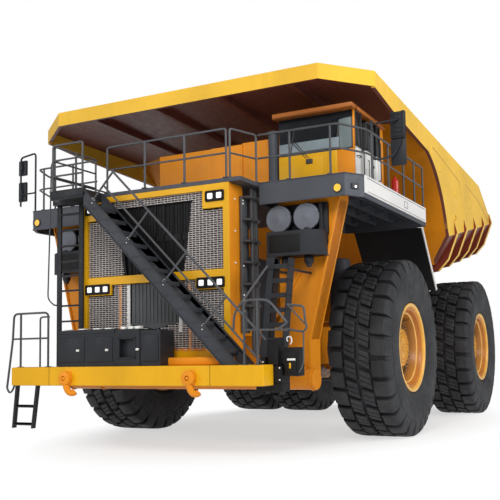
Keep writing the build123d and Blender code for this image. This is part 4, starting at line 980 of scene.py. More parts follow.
lenses, surrounds = [], []
for z, places in ((4.72, (1.31, 1.50)), (3.13, (1.105, 1.30, 1.495))):
    middle = (places[0] + places[-1]) / 2
    reach = (places[-1] - places[0]) / 2 + 0.105
    levels = [(0.0, 0.0), (0.0, -0.022), (0.008, -0.028), (0.02, -0.028), (0.022, -0.012)]
    for side in (1, -1):
        surrounds.append(rounded_square((side * middle, -4.10, z), reach, 0.10, 0.03, levels))
        for x in places:
            shape = [(0.0, -0.010), (0.0, -0.022), (0.006, -0.027), (0.02, -0.030)]
            lenses.append(rounded_square((side * x, -4.10, z), 0.053, 0.053, 0.018, shape))
add_piece("corner_lenses", lenses, "lamp_lens", ("grille_lamps",))
add_piece("lamp_surrounds", surrounds, "black_metal")
plates = [(s * 1.36 - 0.23, s * 1.36 + 0.23, -4.075, -4.04, 4.50, 4.86) for s in (-1, 1)]
add_piece("lamp_plates", [boxes(plates)], "yellow_paint")

# %% [markdown]
# ## Handrails
#
# The rails are steel tube, bent at the ends into hoops, with mid rails and posts
# welded between and a small bolted foot under each post. One function makes a straight
# panel from its two ends. The rail round each side deck follows that deck's edge.

# %% Handrails


DECK, RAIL_TOP = 5.03, 5.96
TUBE_RADIUS, FOOT_PLATE = 0.021, 0.013


def railing(start, end, posts, mids):
    """Tube panel on the deck: one bent hoop, posts at equal steps, mid rails and flange feet."""
    start, end = np.array(start, float), np.array(end, float)
    low, high = DECK + 0.004, RAIL_TOP - TUBE_RADIUS * 0.5
    parts = [tube([(*start, low), (*start, high), (*end, high), (*end, low)], TUBE_RADIUS, 0.06)]
    places = [start + (end - start) * k / (posts - 1) for k in range(posts)]
    parts += [tube([(x, y, low), (x, y, RAIL_TOP - TUBE_RADIUS)], 0.024) for x, y in places[1:-1]]
    for k in range(1, mids + 1):
        z = RAIL_TOP - k * (RAIL_TOP - DECK) / (mids + 1)
        parts.append(tube([(*start, z), (*end, z)], TUBE_RADIUS * 0.9, 0, 8))
    feet = [(x - 0.05, x + 0.05, y - 0.05, y + 0.05, DECK + 0.001, DECK + FOOT_PLATE) for x, y in places]
    heads = [(x + a, y + b, DECK + FOOT_PLATE) for x, y in places
             for a in (-0.035, 0.035) for b in (-0.035, 0.035)]
    return parts + [boxes(feet), studs(heads, UP, 0.009, 0.010)]


def upright(y, places, radius, bend=0.0, sides=10):
    """A tube whose (x, z) places all stand at one distance behind the axle."""
    return tube([(x, y, z) for x, z in places], radius, bend, sides)


round_the_deck = [(1.93, -3.38), (3.44, -3.37), (3.58, -3.33), (3.87, -2.74), (3.89, -2.50), (3.89, 0.84)]
side = [tube([(x, y, z) for x, y in round_the_deck] + ([(3.89, 0.84, DECK)] if z > 5.9 else []),
             radius, 0.08) for z, radius in ((RAIL_TOP - 0.011, 0.021), (5.50, 0.019))]
for x, y in ((2.59, -3.37), (3.41, -3.37), (3.89, -2.50), (3.89, -1.55), (3.89, -0.58), (3.89, 0.18)):
    side += [tube([(x, y, DECK + 0.004), (x, y, RAIL_TOP - 0.02)], 0.021),
             boxes([(x - 0.05, x + 0.024, y - 0.05, y + 0.05, DECK + 0.001, DECK + FOOT_PLATE)])]
rails = both(side)
for start, end, posts, mids in (((-1.09, -4.07), (1.64, -4.07), 4, 1), ((1.70, -4.04), (1.90, -3.40), 2, 1),
                                ((-1.92, -4.69), (-1.18, -4.69), 2, 2),
                                ((-1.92, -4.64), (-1.92, -3.43), 3, 2)):
    rails += railing(start, end, posts, mids)
add_piece("tube_deck_rails", rails, stands_for=("deck_railings",), look="galvanised_tube", crease=50)
front_y, out_y = -4.84, -4.80
hoops = [upright(out_y, [(-2.96, 1.24), (-2.82, 2.16), (-2.79, 2.68), (-1.91, 2.68), (-1.91, 1.645)],
                 0.021, 0.10),
         upright(out_y, [(-2.61, 1.645), (-2.61, 2.67)], 0.021),
         upright(out_y, [(-2.82, 2.19), (-1.91, 2.19)], 0.018, 0, 8),
         upright(out_y + 0.05, [(-2.16, 1.645), (-2.16, 2.60), (-1.93, 2.60)], 0.017, 0.06, 8),
         tube([(-2.96, out_y, 1.24), (-2.90, out_y, 1.14), (-2.82, out_y, 1.18),
               (-2.80, out_y + 0.04, 1.30)], 0.019, 0.05, 8),
         boxes([(x - 0.05, x + 0.05, out_y - 0.04, out_y + 0.05, 1.641, 1.653) for x in (-2.61, -1.91)])]
hoops += [upright(front_y, [(2.40, 1.645), (2.40, 2.72), (2.86, 2.71), (3.20, 2.32)], 0.021, 0.12),
          tube([(2.40, front_y, 2.22), (3.03, front_y, 2.21), (3.03, -4.50, 2.21)], 0.019, 0.06),
          upright(front_y, [(3.20, 2.32), (3.03, 2.21)], 0.019, 0, 8),
          upright(front_y, [(2.65, 1.645), (2.65, 2.71)], 0.021),
          boxes([(x - 0.05, x + 0.05, front_y - 0.03, front_y + 0.05, 1.641, 1.653) for x in (2.40, 2.65)])]
add_piece("tube_bumper_rails", hoops, stands_for=("bumper_rails",), look="galvanised_tube", crease=50)

# %% [markdown]
# ## Stair
#
# The stair climbs across the grille at a little over 45 degrees. Its stringers are
# channels, so each gets a top and a bottom flange. The treads are gratings: a nosing,
# a few cross bars and toothed edges. It has a rail on its front side alone, on props
# that slant up.

# %% Stair rails, treads and stringer flanges
RISE, LOW = 1.0125, 1.64
stair_parts, grating, brackets = [], [], []
rail_y = -4.681
feet = [(x, LOW + 0.022 + (2.19 - x) * RISE) for x in (1.50, 0.69, -0.12, -0.93)]
for x, z in feet:
    stair_parts.append(upright(rail_y, [(x, z - 0.04), (x + 0.47, z + 0.45)], 0.020, 0, 8))
    brackets += [boxes([(x - 0.045, x + 0.03, rail_y - 0.014, rail_y + 0.012, z - 0.13, z)]),
                 studs([(x - 0.01, rail_y - 0.014, z - low) for low in (0.10, 0.03)],
                       FORWARD, 0.012, 0.012)]
(first_x, first_z), (last_x, last_z) = feet[0], feet[-1]
top_x, top_z = last_x + 0.45, last_z + 0.47
stair_parts += [upright(rail_y, [(top_x, top_z), (2.72, top_z - (2.72 - top_x) * RISE)], 0.022),
                upright(rail_y, [(first_x + 1.135, first_z + 0.225 - 0.9 * RISE),
                                 (last_x + 0.235, last_z + 0.225)], 0.019)]
add_piece("rail_brackets", brackets, "white_paint")
add_piece("tube_stair_rails", stair_parts, stands_for=("stair_rails",), look="galvanised_tube", crease=50)
TREADS, STAIR_FOOT, STAIR_RUN = 12, 2.035, 3.185
for k in range(1, TREADS + 1):
    step = k * STAIR_RUN / (TREADS + 1)
    x, z = STAIR_FOOT - step, LOW + step * RISE
    bars = [(x - 0.125 + a, x - 0.117 + a, -4.665, -4.175, z + 0.012, z + 0.030)
            for a in np.linspace(0.0, 0.232, 9)]
    teeth = [(x - 0.12 + a, x - 0.105 + a, -4.706, -4.699, z - 0.02, z + 0.02)
             for a in np.linspace(0.02, 0.21, 5)]
    grating.append(boxes(bars + teeth))
    grating.append(boxes([(x + 0.108, x + 0.122, -4.665, -4.175, z - 0.045, z + 0.032)]))
for y0, y1 in ((-4.725, -4.655), (-4.185, -4.115)):
    upper = [(2.19, LOW + 0.005), (2.19, LOW + 0.022), (-1.14, LOW + 3.33 * RISE),
             (-1.14, LOW + 3.33 * RISE - 0.018)]
    lower = [(1.89, LOW + 0.005), (1.875, LOW + 0.005), (-1.14, LOW + 3.015 * RISE),
             (-1.14, LOW + 3.03 * RISE)]
    for outline in (upper, lower):
        grating.append(prism(outline, y0, y1, 1))
# The gratings take the darker stair grey: painted shade.
add_piece("stair_gratings", grating, look="stair_grey_painted_shade", crease=40)
print("stair steps:", TREADS)

# %% [markdown]
# ## Rounded boxes
#
# Small housings are boxes whose edges are cut back in a few steps, which reads as a
# moulded corner.

# %% Rounded box


def soft_box(low, high, edge=0.01):
    """A box with rounded edges: one rounded rectangle, repeated at eight levels of Z.

    Near the ends the corner radius shrinks as a sine while the level runs as a cosine,
    so every corner is an eighth of a sphere.
    """
    low, high = np.array(low, float), np.array(high, float)
    centre, half = (low + high) / 2, (high - low) / 2
    edge = min(edge, 0.95 * half.min())
    angle = np.arange(4)[:, None] * np.pi / 2 + np.linspace(0, np.pi / 2, 3)
    arc = np.stack([np.cos(angle), np.sin(angle)], -1)
    corner = np.sign(arc.mean(axis=1, keepdims=True)) * (half[:2] - edge)
    swing = np.linspace(0, np.pi / 2, 4)
    reach = np.concatenate([np.sin(swing), np.sin(swing)[::-1]]) * edge
    level = half[2] - edge * (1 - np.cos(swing))
    level = np.concatenate([-level, level[::-1]])
    rings = [np.concatenate([corner + arc * r, np.full((4, 3, 1), z)], -1) for r, z in zip(reach, level)]
    points = np.stack(rings).reshape(len(rings), 12, 3)
    ends = [np.broadcast_to((0, 0, z), (1, 12, 3)) for z in (-half[2], half[2])]
    points = np.concatenate([ends[0], points, ends[1]]) + centre
    return points.reshape(-1, 3), grid_quads(len(points), 12, close_columns=True)


# %% [markdown]
# ## Cab
#
# The cab has orange pillars darkened with painted shade, a saturated yellow front and
# a white lower side. Its panes are near black with painted shade and sit in black
# rubber; a dark sheet over the upper windscreen is painted shade and a pale band below it
# is a painted reflection. A module on the left corner carries a grey pane and a narrow
# roof, and the door has a deep outer skin that lines up with it. Behind the door come a
# window and one orange stripe. The wiper has two arms.

# %% Cab outside
CAB_FRONT, CAB_SIDE = -2.50, 3.55


def window_seal(x, y, z, width=0.022, proud=0.010):
    """Four rubber strips round an opening; the flat axis is the one given as one number."""
    faces_front = np.isscalar(y)
    (a0, a1), (z0, z1) = x if faces_front else y, z
    depth = (y - proud, y + 0.02) if faces_front else (x - 0.02, x + proud)
    strips = [(a0, a1, z0, z0 + width), (a0, a1, z1 - width, z1),
              (a0, a0 + width, z0, z1), (a1 - width, a1, z0, z1)]
    return boxes([(*s[:2], *depth, *s[2:]) if faces_front else (*depth, *s) for s in strips])


def grab_rail(start, end, reach, radius, bend, sunk=0.0):
    """A handle on the cab's side: out from one (y, z) place, along, and back in at the other."""
    skin, out = CAB_SIDE - sunk, CAB_SIDE + reach
    return tube([(skin, *start), (out, *start), (out, *end), (skin, *end)], radius, bend, 8)


front_field = [soft_box((1.94, CAB_FRONT - 0.016, 5.05), (3.20, CAB_FRONT + 0.01, 5.70), 0.006),
               soft_box((2.06, CAB_FRONT - 0.026, 5.12), (2.90, CAB_FRONT, 5.62), 0.006),
               soft_box((2.98, CAB_FRONT - 0.030, 5.05), (3.20, CAB_FRONT, 5.685), 0.012)]
add_piece("cab_front_field", front_field, "yellow_paint")
corner = [soft_box((3.20, CAB_FRONT - 0.014, 5.05), (CAB_SIDE, CAB_FRONT + 0.03, 5.70), 0.008),
          soft_box((3.515, CAB_FRONT - 0.012, 5.70), (CAB_SIDE, CAB_FRONT + 0.05, 6.47), 0.008),
          soft_box((CAB_SIDE - 0.17, -1.02, 5.30), (CAB_SIDE + 0.003, -0.845, 6.46), 0.008)]
add_piece("cab_corner", corner, "orange_paint")
# The brow is orange darkened with painted shade.
brow = [soft_box((1.90, -2.72, 6.452), (3.60, -2.44, 6.535), 0.012),
        soft_box((3.375, -2.50, 6.452), (3.60, -0.84, 6.53), 0.012)]
add_piece("cab_brow", brow, "orange_paint", look="orange_painted_shade")
side_white = [soft_box((3.37, -2.465, 5.045), (CAB_SIDE, -2.10, 5.76)),
              soft_box((3.37, -1.265, 5.045), (CAB_SIDE, -0.85, 5.80)),
              soft_box((3.37, -2.12, 5.045), (3.40, -1.90, 5.76), 0.006)]
add_piece("cab_side_panels", side_white, "white_paint")
# The side panes are near-black boxes: painted shade for the cab behind them.
panes = [soft_box((3.53, -2.44, 5.76), (3.540, -2.11, 6.455), 0.003),
         soft_box((3.53, -1.26, 5.80), (3.540, -1.02, 6.455), 0.003),
         soft_box((3.37, -2.112, 5.76), (3.54, -2.100, 6.455), 0.003),
         soft_box((3.37, -1.268, 5.80), (3.54, -1.256, 6.455), 0.003)]
add_piece("side_panes", panes, "black_metal", look="painted_shade_glass")
quarter = [soft_box((3.245, CAB_FRONT - 0.012, 5.725), (3.505, CAB_FRONT + 0.03, 6.31), 0.004)]
add_piece("quarter_pane", quarter, "white_paint", look="pane_grey")
sill = [soft_box((2.045, -2.44, 5.69), (3.215, -2.39, 5.94))]
add_piece("dash_top", sill, "white_paint", look="lid_grey")
seals = [window_seal((2.035, 3.225), CAB_FRONT, (5.695, 6.455)),
         window_seal((3.225, 3.52), CAB_FRONT - 0.004, (5.705, 6.33)),
         soft_box((3.23, CAB_FRONT - 0.010, 6.32), (3.515, CAB_FRONT + 0.03, 6.455), 0.004),
         window_seal(CAB_SIDE - 0.006, (-2.45, -2.105), (5.75, 6.455)),
         window_seal(CAB_SIDE - 0.006, (-1.262, -1.02), (5.79, 6.455)),
         boxes([(2.02, 3.24, -0.862, -0.84, z0, z1)
                for z0, z1 in ((5.745, 5.767), (6.333, 6.355))])]
# Dark sheets over the upper windscreen and on the cab's far wall: painted shade.
shade_sheets = [prism([(1.945, 6.45), (3.52, 6.45), (3.52, 6.33), (3.245, 6.31), (3.16, 5.97), (1.96, 5.95)],
               CAB_FRONT - 0.020, CAB_FRONT - 0.012, 1),
         boxes([(2.02, 2.03, -2.42, -1.05, 6.12, 6.40)])]
# A pale band under the dark sheet: painted reflection on the windscreen.
reflection_band = [soft_box((1.955, CAB_FRONT - 0.017, 5.72), (3.235, CAB_FRONT - 0.010, 5.955), 0.003)]
add_piece("painted_reflection_band", reflection_band, "white_paint", look="pale_painted_reflection")
add_piece("window_seals", seals, "black_metal", look="dark_plastic")
add_piece("painted_shade_sheets", shade_sheets, "black_metal", look="painted_shade_glass")
arm_y = -2.52
wiper = [tube([(2.58, arm_y, 5.56), (2.26, arm_y - 0.01, 5.95)], 0.008, 0, 6),
         tube([(2.62, arm_y, 5.58), (2.30, arm_y - 0.01, 5.97)], 0.008, 0, 6),
         tube([(2.20, arm_y - 0.005, 5.74), (2.30, arm_y - 0.005, 6.22)], 0.010, 0, 6),
         soft_box((2.54, arm_y - 0.03, 5.50), (2.68, arm_y + 0.03, 5.59), 0.008)]
grab = [grab_rail((-2.40, 5.56), (-2.26, 5.56), 0.06, 0.011, 0.04),
        grab_rail((-2.14, 5.22), (-2.14, 5.72), 0.055, 0.012, 0.05),
        grab_rail((-1.16, 5.30), (-1.16, 6.10), 0.055, 0.012, 0.05)]
roof = [soft_box((2.15, -1.75, 6.53), (2.95, -1.15, 6.66), 0.03),
        tube([(3.2, -1.0, 6.53), (3.2, -1.0, 6.80)], 0.006, 0, 6)]
add_piece("wiper_and_grab_rails", wiper + grab, "dark_plastic")
add_piece("cab_roof_cooler", roof, "orange_paint")
plan = [(3.402, -1.872), (CAB_SIDE, -1.872), (CAB_SIDE, -1.430), (3.420, -1.312), (3.402, -1.312)]
skin = [prism(plan, 5.15, 5.79, 2)]
add_piece("door_skin", skin, "pale_yellow_paint", look="white_paint", body="cab_door")
pane = [soft_box((3.530, -1.86, 5.79), (3.540, -1.43, 6.38), 0.003)]
add_piece("door_pane", pane, "black_metal", look="painted_shade_glass", body="cab_door")
door = [window_seal(CAB_SIDE - 0.006, (-1.872, -1.425), (5.785, 6.392), 0.035),
        boxes([(3.402, 3.54, -1.870, -1.854, 5.785, 6.392),
               (3.402, 3.54, -1.87, -1.43, 6.376, 6.392)]),
        prism([plan[2], plan[3], (3.410, -1.322), (CAB_SIDE - 0.012, -1.44)], 5.79, 6.39, 2),
        soft_box((CAB_SIDE - 0.004, -1.56, 5.50), (CAB_SIDE + 0.028, -1.46, 5.55), 0.006),
        grab_rail((-1.78, 5.25), (-1.78, 5.60), 0.03, 0.009, 0.03, 0.005)]
add_piece("door_trim", door, "dark_plastic", body="cab_door")

# %% [markdown]
# ## Driver's place
#
# Through the glass one sees the backrest, the cushion and the wheel. A pad is a
# superquadric, a rounded box from powers of sines and cosines. Its crown is highest in
# the middle, its sides draw in between the corners, and sewn channels run across it.

# %% Cushions, console and steering wheel


def crowned_pad(centre, half, lean=0.0, channels=3, rows=48, around=72):
    """Superquadric pad: |cos|^0.28 and |sin|^0.28 give the box, channels sink its crown."""
    up = np.linspace(-np.pi / 2, np.pi / 2, rows)[:, None]
    turn = steps_round(around)[None, :]

    def soft(value, power=0.28):
        return np.sign(value) * np.abs(value) ** power

    x = soft(np.cos(up), 0.4) * soft(np.cos(turn))
    y = soft(np.cos(up), 0.4) * soft(np.sin(turn))
    z = soft(np.sin(up), 0.6) * np.ones_like(turn)
    waist = 1 - 0.045 * (1 - x ** 2) * np.abs(y) - 0.045 * (1 - y ** 2) * np.abs(x)
    crown = 1 - 0.28 * (x ** 2 + y ** 2) * (z > 0)
    middles = ((np.arange(channels) + 0.5) / channels - 0.5) * 1.3
    seam = np.exp(-((y[..., None] - middles) / 0.045) ** 2).sum(axis=-1)
    depth = np.where(z > 0, 1 - 0.16 * seam, 1.0)
    shape = np.stack([x * waist * half[0], y * waist * half[1], z * crown * depth * half[2]], -1)
    c, s = cos(lean), sin(lean)
    swing = np.array([[1, 0, 0], [0, c, s], [0, -s, c]])
    points = shape.reshape(-1, 3) @ swing + np.array(centre)
    return points, grid_quads(rows, around, close_columns=True)


seat_pads = [("driver_cushion", (2.70, -1.55, 5.535), (0.275, 0.265, 0.085), radians(-3)),
             ("driver_backrest", (2.70, -1.275, 5.95), (0.245, 0.34, 0.06), radians(80))]
for name, centre, half, lean in seat_pads:
    pad = add_piece(name, [crowned_pad(centre, half, lean)], "black_fabric", crease=80)
base = [soft_box((2.56, -1.64, 5.09), (2.84, -1.36, 5.40), 0.02),
        soft_box((2.47, -1.76, 5.40), (2.93, -1.33, 5.455), 0.015),
        soft_box((2.36, -1.62, 5.60), (2.42, -1.34, 5.66), 0.012),
        soft_box((2.98, -1.62, 5.60), (3.04, -1.34, 5.66), 0.012)]
add_piece("seat_base", base, "black_fabric", ("driver_seat",), look="dark_plastic")
wheel_axis = np.array([0, -0.62, -0.78])
hub = np.array([2.70, -2.10, 5.70])
ring_angle = np.linspace(0, 2 * np.pi, 14)
ring_profile = [(0.012 * sin(a), 0.19 + 0.012 * cos(a)) for a in ring_angle]
console = [soft_box((2.25, -2.43, 5.09), (3.15, -2.22, 5.62), 0.03),
           soft_box((2.42, -2.36, 5.60), (2.98, -2.24, 5.72), 0.02),
           turned(ring_profile, hub, wheel_axis, 48),
           turned([(-0.01, 0), (-0.01, 0.04), (0.02, 0.045), (0.30, 0.03), (0.30, 0)], hub, wheel_axis, 24),
           tube([hub + (-0.19, 0, 0), hub + (0.19, 0, 0)], 0.012, 0, 8)]
add_piece("driver_controls", console, "dark_plastic", ("driver_console",))

# %% [markdown]
# ## Mirrors
#
# On the left stands one tall housing in two storeys, held by a straight arm at its top
# and a bent one below. On the right, two small heads ride on an upright pipe.

# %% Mirrors
left_mirror = [tube([(3.87, -2.43, 5.035), (3.87, -2.43, 6.20)], 0.026, 0, 12),
               tube([(3.87, -2.43, 6.12), (4.30, -2.06, 6.26)], 0.018),
               tube([(3.87, -2.43, 5.46), (4.02, -2.35, 5.44), (4.20, -2.09, 5.56),
                     (4.36, -2.09, 5.84)], 0.020, 0.12),
               soft_box((4.12, -2.06, 5.37), (4.42, -1.99, 5.88), 0.02),
               soft_box((4.12, -2.06, 5.89), (4.42, -1.99, 6.42), 0.02),
               soft_box((4.355, -2.09, 5.88), (4.42, -2.00, 6.42), 0.018)]
bars = [soft_box((4.14, -2.075, z), (4.34, -2.055, z + 0.028), 0.006)
        for z in np.arange(5.93, 6.37, 0.085)]
left_mirror += bars + [soft_box((4.22, -2.075, 5.92), (4.255, -2.055, 6.38), 0.006)]
x = -4.30
right_mirror = [tube([(-3.84, -3.18, 5.035), (-3.84, -3.18, 6.40), (x, -3.16, 6.35),
                      (x, -3.16, 5.23)], 0.021, 0.08),
                tube([(-3.84, -3.18, 5.50), (x, -3.16, 5.50)], 0.018)]
for z0, z1 in ((5.95, 6.30), (5.35, 5.80)):
    right_mirror.append(soft_box((-4.42, -3.12, z0), (-4.18, -3.06, z1), 0.025))
    right_mirror.append(soft_box((-4.34, -3.17, (z0 + z1) / 2 - 0.05),
                                 (-4.26, -3.08, (z0 + z1) / 2 + 0.05), 0.012))
add_piece("mirror_housings", left_mirror + right_mirror, stands_for=("mirrors",), look="box_grey_painted_shade")
faces = [boxes([(4.14, 4.40, -1.992, -1.982, z0, z1) for z0, z1 in ((5.91, 6.40), (5.40, 5.86))]),
         boxes([(-4.40, -4.20, -3.062, -3.054, z0, z1) for z0, z1 in ((5.97, 6.28), (5.37, 5.78))])]
add_piece("mirror_glass", faces, "chromed_steel")

# %% [markdown]
# ## Air cleaners
#
# Two drums on each side look forward with pale grey lids held by clips. Below them
# hangs a box with one slanted corner and a plain black plate, and two dust cups.

# %% Air cleaners
drum = [(0.0, 0.0), (0.0, 0.25), (0.20, 0.25), (0.205, 0.262), (0.235, 0.262), (0.24, 0.25)]
lid = [(0.232, 0.256), (0.262, 0.256), (0.27, 0.246), (0.27, 0.215), (0.262, 0.205), (0.262, 0.06),
       (0.268, 0.05), (0.268, 0.0)]
cup = [(0.0, 0.06), (0.03, 0.085), (0.06, 0.09), (0.13, 0.082), (0.17, 0.05), (0.19, 0.052), (0.21, 0.035),
       (0.215, 0.0)]
drums, lids = [], []
for x in (2.28, 2.85):
    base = (x, -3.0, 4.325)
    drums.append(turned(drum, base, FORWARD, 56))
    lids.append(turned(lid, base, FORWARD, 56))
    spots = ring_of((x, -3.22, 4.325), 0.262, 6, (0, 2), 0.3)
    drums.append(studs(spots, FORWARD, 0.016, 0.05, 4))
for x in (2.42, 2.88):
    drums.append(turned(cup, (x, -3.23, 3.60), DOWN, 24))
plan = [(2.12, -3.45), (2.90, -3.45), (3.18, -3.28), (3.18, -3.0), (2.12, -3.0)]
drums.append(prism(plan, 3.60, 4.06, 2))
drums.append(soft_box((2.82, -3.30, 4.05), (2.92, -3.05, 4.12)))
drums.append(soft_box((3.08, -3.20, 4.05), (3.14, -3.08, 4.57), 0.008))
drums.append(soft_box((2.10, -3.08, 4.00), (3.20, -2.98, 4.60)))
# The drums take the near-black box grey: painted shade, as they sit in shadow.
add_piece("cleaner_drums", both(drums), stands_for=("air_cleaners",), look="box_grey_painted_shade")
add_piece("cleaner_lids", both(lids), look="lid_grey")
plate = [soft_box((2.17, -3.462, 3.67), (2.80, -3.448, 3.99), 0.006)]
add_piece("blank_plates", both(plate), "black_metal")

# %% [markdown]
# ## Deck, mudguards and side lamps
#
# The fascia has thin rolled edges, an amber marker on the front and a small black
# lamp on the chamfer. White side panels run back to the mudguards, whose outer edge
# is a white strip. Ribs under the deck plate carry it, and a red bottle stands on it.

# %% Deck details
marker = [turned([(0.0, 0.085), (0.026, 0.085), (0.032, 0.078), (0.032, 0.07), (0.02, 0.068), (0.0, 0.068)],
                 (3.55, -3.40, 4.76), FORWARD, 32)]
slant_out = np.array([0.843, -0.538, 0.0])
lamp_at = np.array([3.805, -3.22, 4.79])
housing, housing_quads = soft_box((-0.02, -0.075, -0.045), (0.035, 0.075, 0.055), 0.008)
across = np.array([0.538, 0.843, 0.0])
marker.append((lamp_at + housing[:, :1] * slant_out + housing[:, 1:2] * across + housing[:, 2:] * UP,
               housing_quads))
add_piece("marker_bezels", both(marker), "dark_plastic")
lens_base = lamp_at + slant_out * 0.034 - (0, 0, 0.01)
side_lens = turned([(0.0, 0.0), (0.0, 0.026), (0.010, 0.022), (0.012, 0.0)], lens_base, slant_out, 20)
add_piece("side_lenses", both([side_lens]), "lamp_lens")
edges = [tube([(1.96, -3.405, z), (3.69, -3.405, z), (3.925, -3.04, z), (3.925, 0.88, z)], 0.010, 0, 6)
         for z in (5.022, 4.616)]
add_piece("deck_rolled_edges", both(edges))
ribs = [(x, x + 0.02, -3.34, 0.85, 4.72, 4.948) for x in (2.3, 2.75, 3.2, 3.6)]
ribs += [(2.0, 3.87, y, y + 0.02, 4.76, 4.948) for y in (-2.2, -1.4, -0.5, 0.4)]
add_piece("deck_stiffeners", both([boxes(ribs)]))
trim = [(3.934, 3.940, -2.9, 0.80, 4.985, 4.993), (3.934, 3.940, -2.9, 0.80, 4.735, 4.741)]
trim += [(3.934, 3.941, -0.70 + d, -0.70 + d + 0.006, 4.80, 4.93) for d in (0.0, 0.22)]
trim += [(3.934, 3.941, -0.70, -0.474, z, z + 0.006) for z in (4.80, 4.924)]
add_piece("side_panel_joints", both([boxes(trim)]), "dark_plastic")
strip = [prism([(1.49, 4.69), (1.53, 4.775), (2.655, 3.315), (2.59, 3.28)], 3.638, 3.66, 0),
         prism([(0.90, 4.62), (0.90, 4.735), (1.53, 4.775), (1.49, 4.69)], 3.638, 3.66, 0)]
add_piece("mudguard_edges", both(strip), "white_paint")
# The bottle wears the red lens finish, so it glows faintly: painted light.
bottle = [turned([(0, 0), (0, 0.06), (0.02, 0.075), (0.36, 0.075), (0.41, 0.04), (0.45, 0.03), (0.45, 0)],
                 (3.72, -0.62, 5.031), UP, 24)]
add_piece("fire_bottle", bottle, "amber_lens", look="red_lens")

# %% [markdown]
# ## Cylinders, struts and rods
#
# The lift cylinders, the struts and the track rod are turned steel. The stages of a lift
# cylinder are hollow, each a few millimetres wider inside than the next one is outside,
# so they still slide in each other.

# %% Cylinders, struts and rods
HOIST_FOOT = np.array([1.15, 3.75, 1.70])
HOIST_HEAD = np.array([1.15, 3.90, 3.80])
HOIST_WAY = (HOIST_HEAD - HOIST_FOOT) / np.linalg.norm(HOIST_HEAD - HOIST_FOOT)
HOIST_LENGTH = float(np.linalg.norm(HOIST_HEAD - HOIST_FOOT))


def eye(centre, inner, outer, half, axis=LEFT):
    """Bored eye: a ring profile with broken edges, turned about its pin."""
    profile = [(-half, inner), (-half, outer - 0.008), (-half + 0.008, outer), (half - 0.008, outer),
               (half, outer - 0.008), (half, inner), (-half, inner)]
    return turned(profile, centre, axis)


def stage(start, end, radius, bore, lip=0.0):
    """One stage of a cylinder with a slightly raised lip at its open end."""
    profile = [(start, 0.0), (start, radius - 0.01), (start + 0.01, radius), (end - 0.09, radius),
               (end - 0.085, radius + lip), (end - 0.01, radius + lip), (end, radius + lip - 0.006),
               (end, bore)]
    profile += [(start + 0.15, bore), (start + 0.15, 0.0)] if bore else []
    return turned(profile, HOIST_FOOT, HOIST_WAY, 48)


barrel_parts = [stage(0.09, HOIST_LENGTH - 0.275, 0.165, 0.1325), eye(HOIST_FOOT, 0.0708, 0.15, 0.075)]
sleeve_parts = [stage(0.24, HOIST_LENGTH - 0.225, 0.130, 0.100)]
rod_parts = [stage(0.26, HOIST_LENGTH - 0.14, 0.096, 0.0), eye(HOIST_HEAD, 0.132, 0.177, 0.075)]
for name, parts, slot in (("barrel", barrel_parts, "dark_grey_paint"),
                          ("sleeve", sleeve_parts, "chromed_steel"),
                          ("rod", rod_parts, "chromed_steel")):
    for side, turned_parts in (("left", parts), ("right", [mirrored(part) for part in parts])):
        node = side + "_hoist_" + name
        add_piece(node + "_turned", turned_parts, slot_of[node], (node,), body=body_of[node])

STRUT_X = 2.15
front_strut = [turned([(2.45, 0.197), (2.45, 0.247), (2.458, 0.255), (2.52, 0.255), (2.525, 0.248),
                       (3.40, 0.248), (3.405, 0.255), (3.84, 0.255), (3.845, 0.235), (3.88, 0.235),
                       (3.90, 0.215), (3.90, 0.0)], (STRUT_X, 0, 0), UP, 56),
               turned([(2.45, 0.197), (3.50, 0.197), (3.50, 0.0)], (STRUT_X, 0, 0), UP, 56),
               studs(ring_of((STRUT_X, 0, 3.846), 0.222, 12, (0, 1)), UP, 0.018, 0.03)]
rear_strut = [turned([(2.0, 0.0), (2.0, 0.13), (2.28, 0.13), (2.30, 0.10), (2.56, 0.10), (2.56, 0.0)],
                     (0.73, 7.19, 0.0), UP)]
add_piece("round_struts", both(front_strut + rear_strut), slot_of["suspension_struts"],
          ("suspension_struts",))
rod_z = 1.1845
track = [tube([(-2.07, 0.75, rod_z), (2.07, 0.75, rod_z)], 0.038, 0, 24)]
for x in (-2.15, 2.15):
    track.append(eye((x, 0.75, rod_z), 0.0475, 0.09, 0.045, UP))
for x in (-1.9, 1.9):
    track.append(turned([(-0.08, 0.0), (-0.08, 0.045), (-0.07, 0.05), (0.07, 0.05), (0.08, 0.045),
                         (0.08, 0.0)], (x, 0.75, rod_z), LEFT, 24))
add_piece("track_rod", track, slot_of["tie_rod"], ("tie_rod",), body=body_of["tie_rod"])

# %% [markdown]
# ## Axle, cross tube and stack
#
# The rear axle is a banjo housing: a round casing whose rear cover is bolted on. The
# tube under the collar is one round pipe with welded discs. Both are drawn as skins
# just outside the facets. The stack is a thin pipe under a cap on three legs.

# %% Axle, cross tube and stack
AXLE_MIDDLE = (0, REAR_AXLE, HUB_HEIGHT)
axle = [turned([(-0.93, 0.5), (-0.93, 0.60), (-0.91, 0.6205), (0.91, 0.6205), (0.93, 0.60), (0.93, 0.5)],
               AXLE_MIDDLE, LEFT, 72),
        turned([(0.0, 0.0), (0.0, 0.40), (0.02, 0.42), (0.05, 0.42), (0.06, 0.40), (0.16, 0.30),
                (0.22, 0.14), (0.23, 0.0)], (0, 6.91, HUB_HEIGHT), REARWARD, 48),
        studs(ring_of((0, 6.965, HUB_HEIGHT), 0.37, 16, (0, 2)), REARWARD, 0.02, 0.025)]
for x0, x1 in ((0.93, 1.02), (-1.02, -0.93)):
    axle.append(turned([(x0, 0.45), (x0, 0.5005), (x1, 0.5005), (x1, 0.45)], AXLE_MIDDLE, LEFT, 60))
add_piece("axle_casing", axle, slot_of["rear_axle_housing"], body=body_of["rear_axle_housing"])
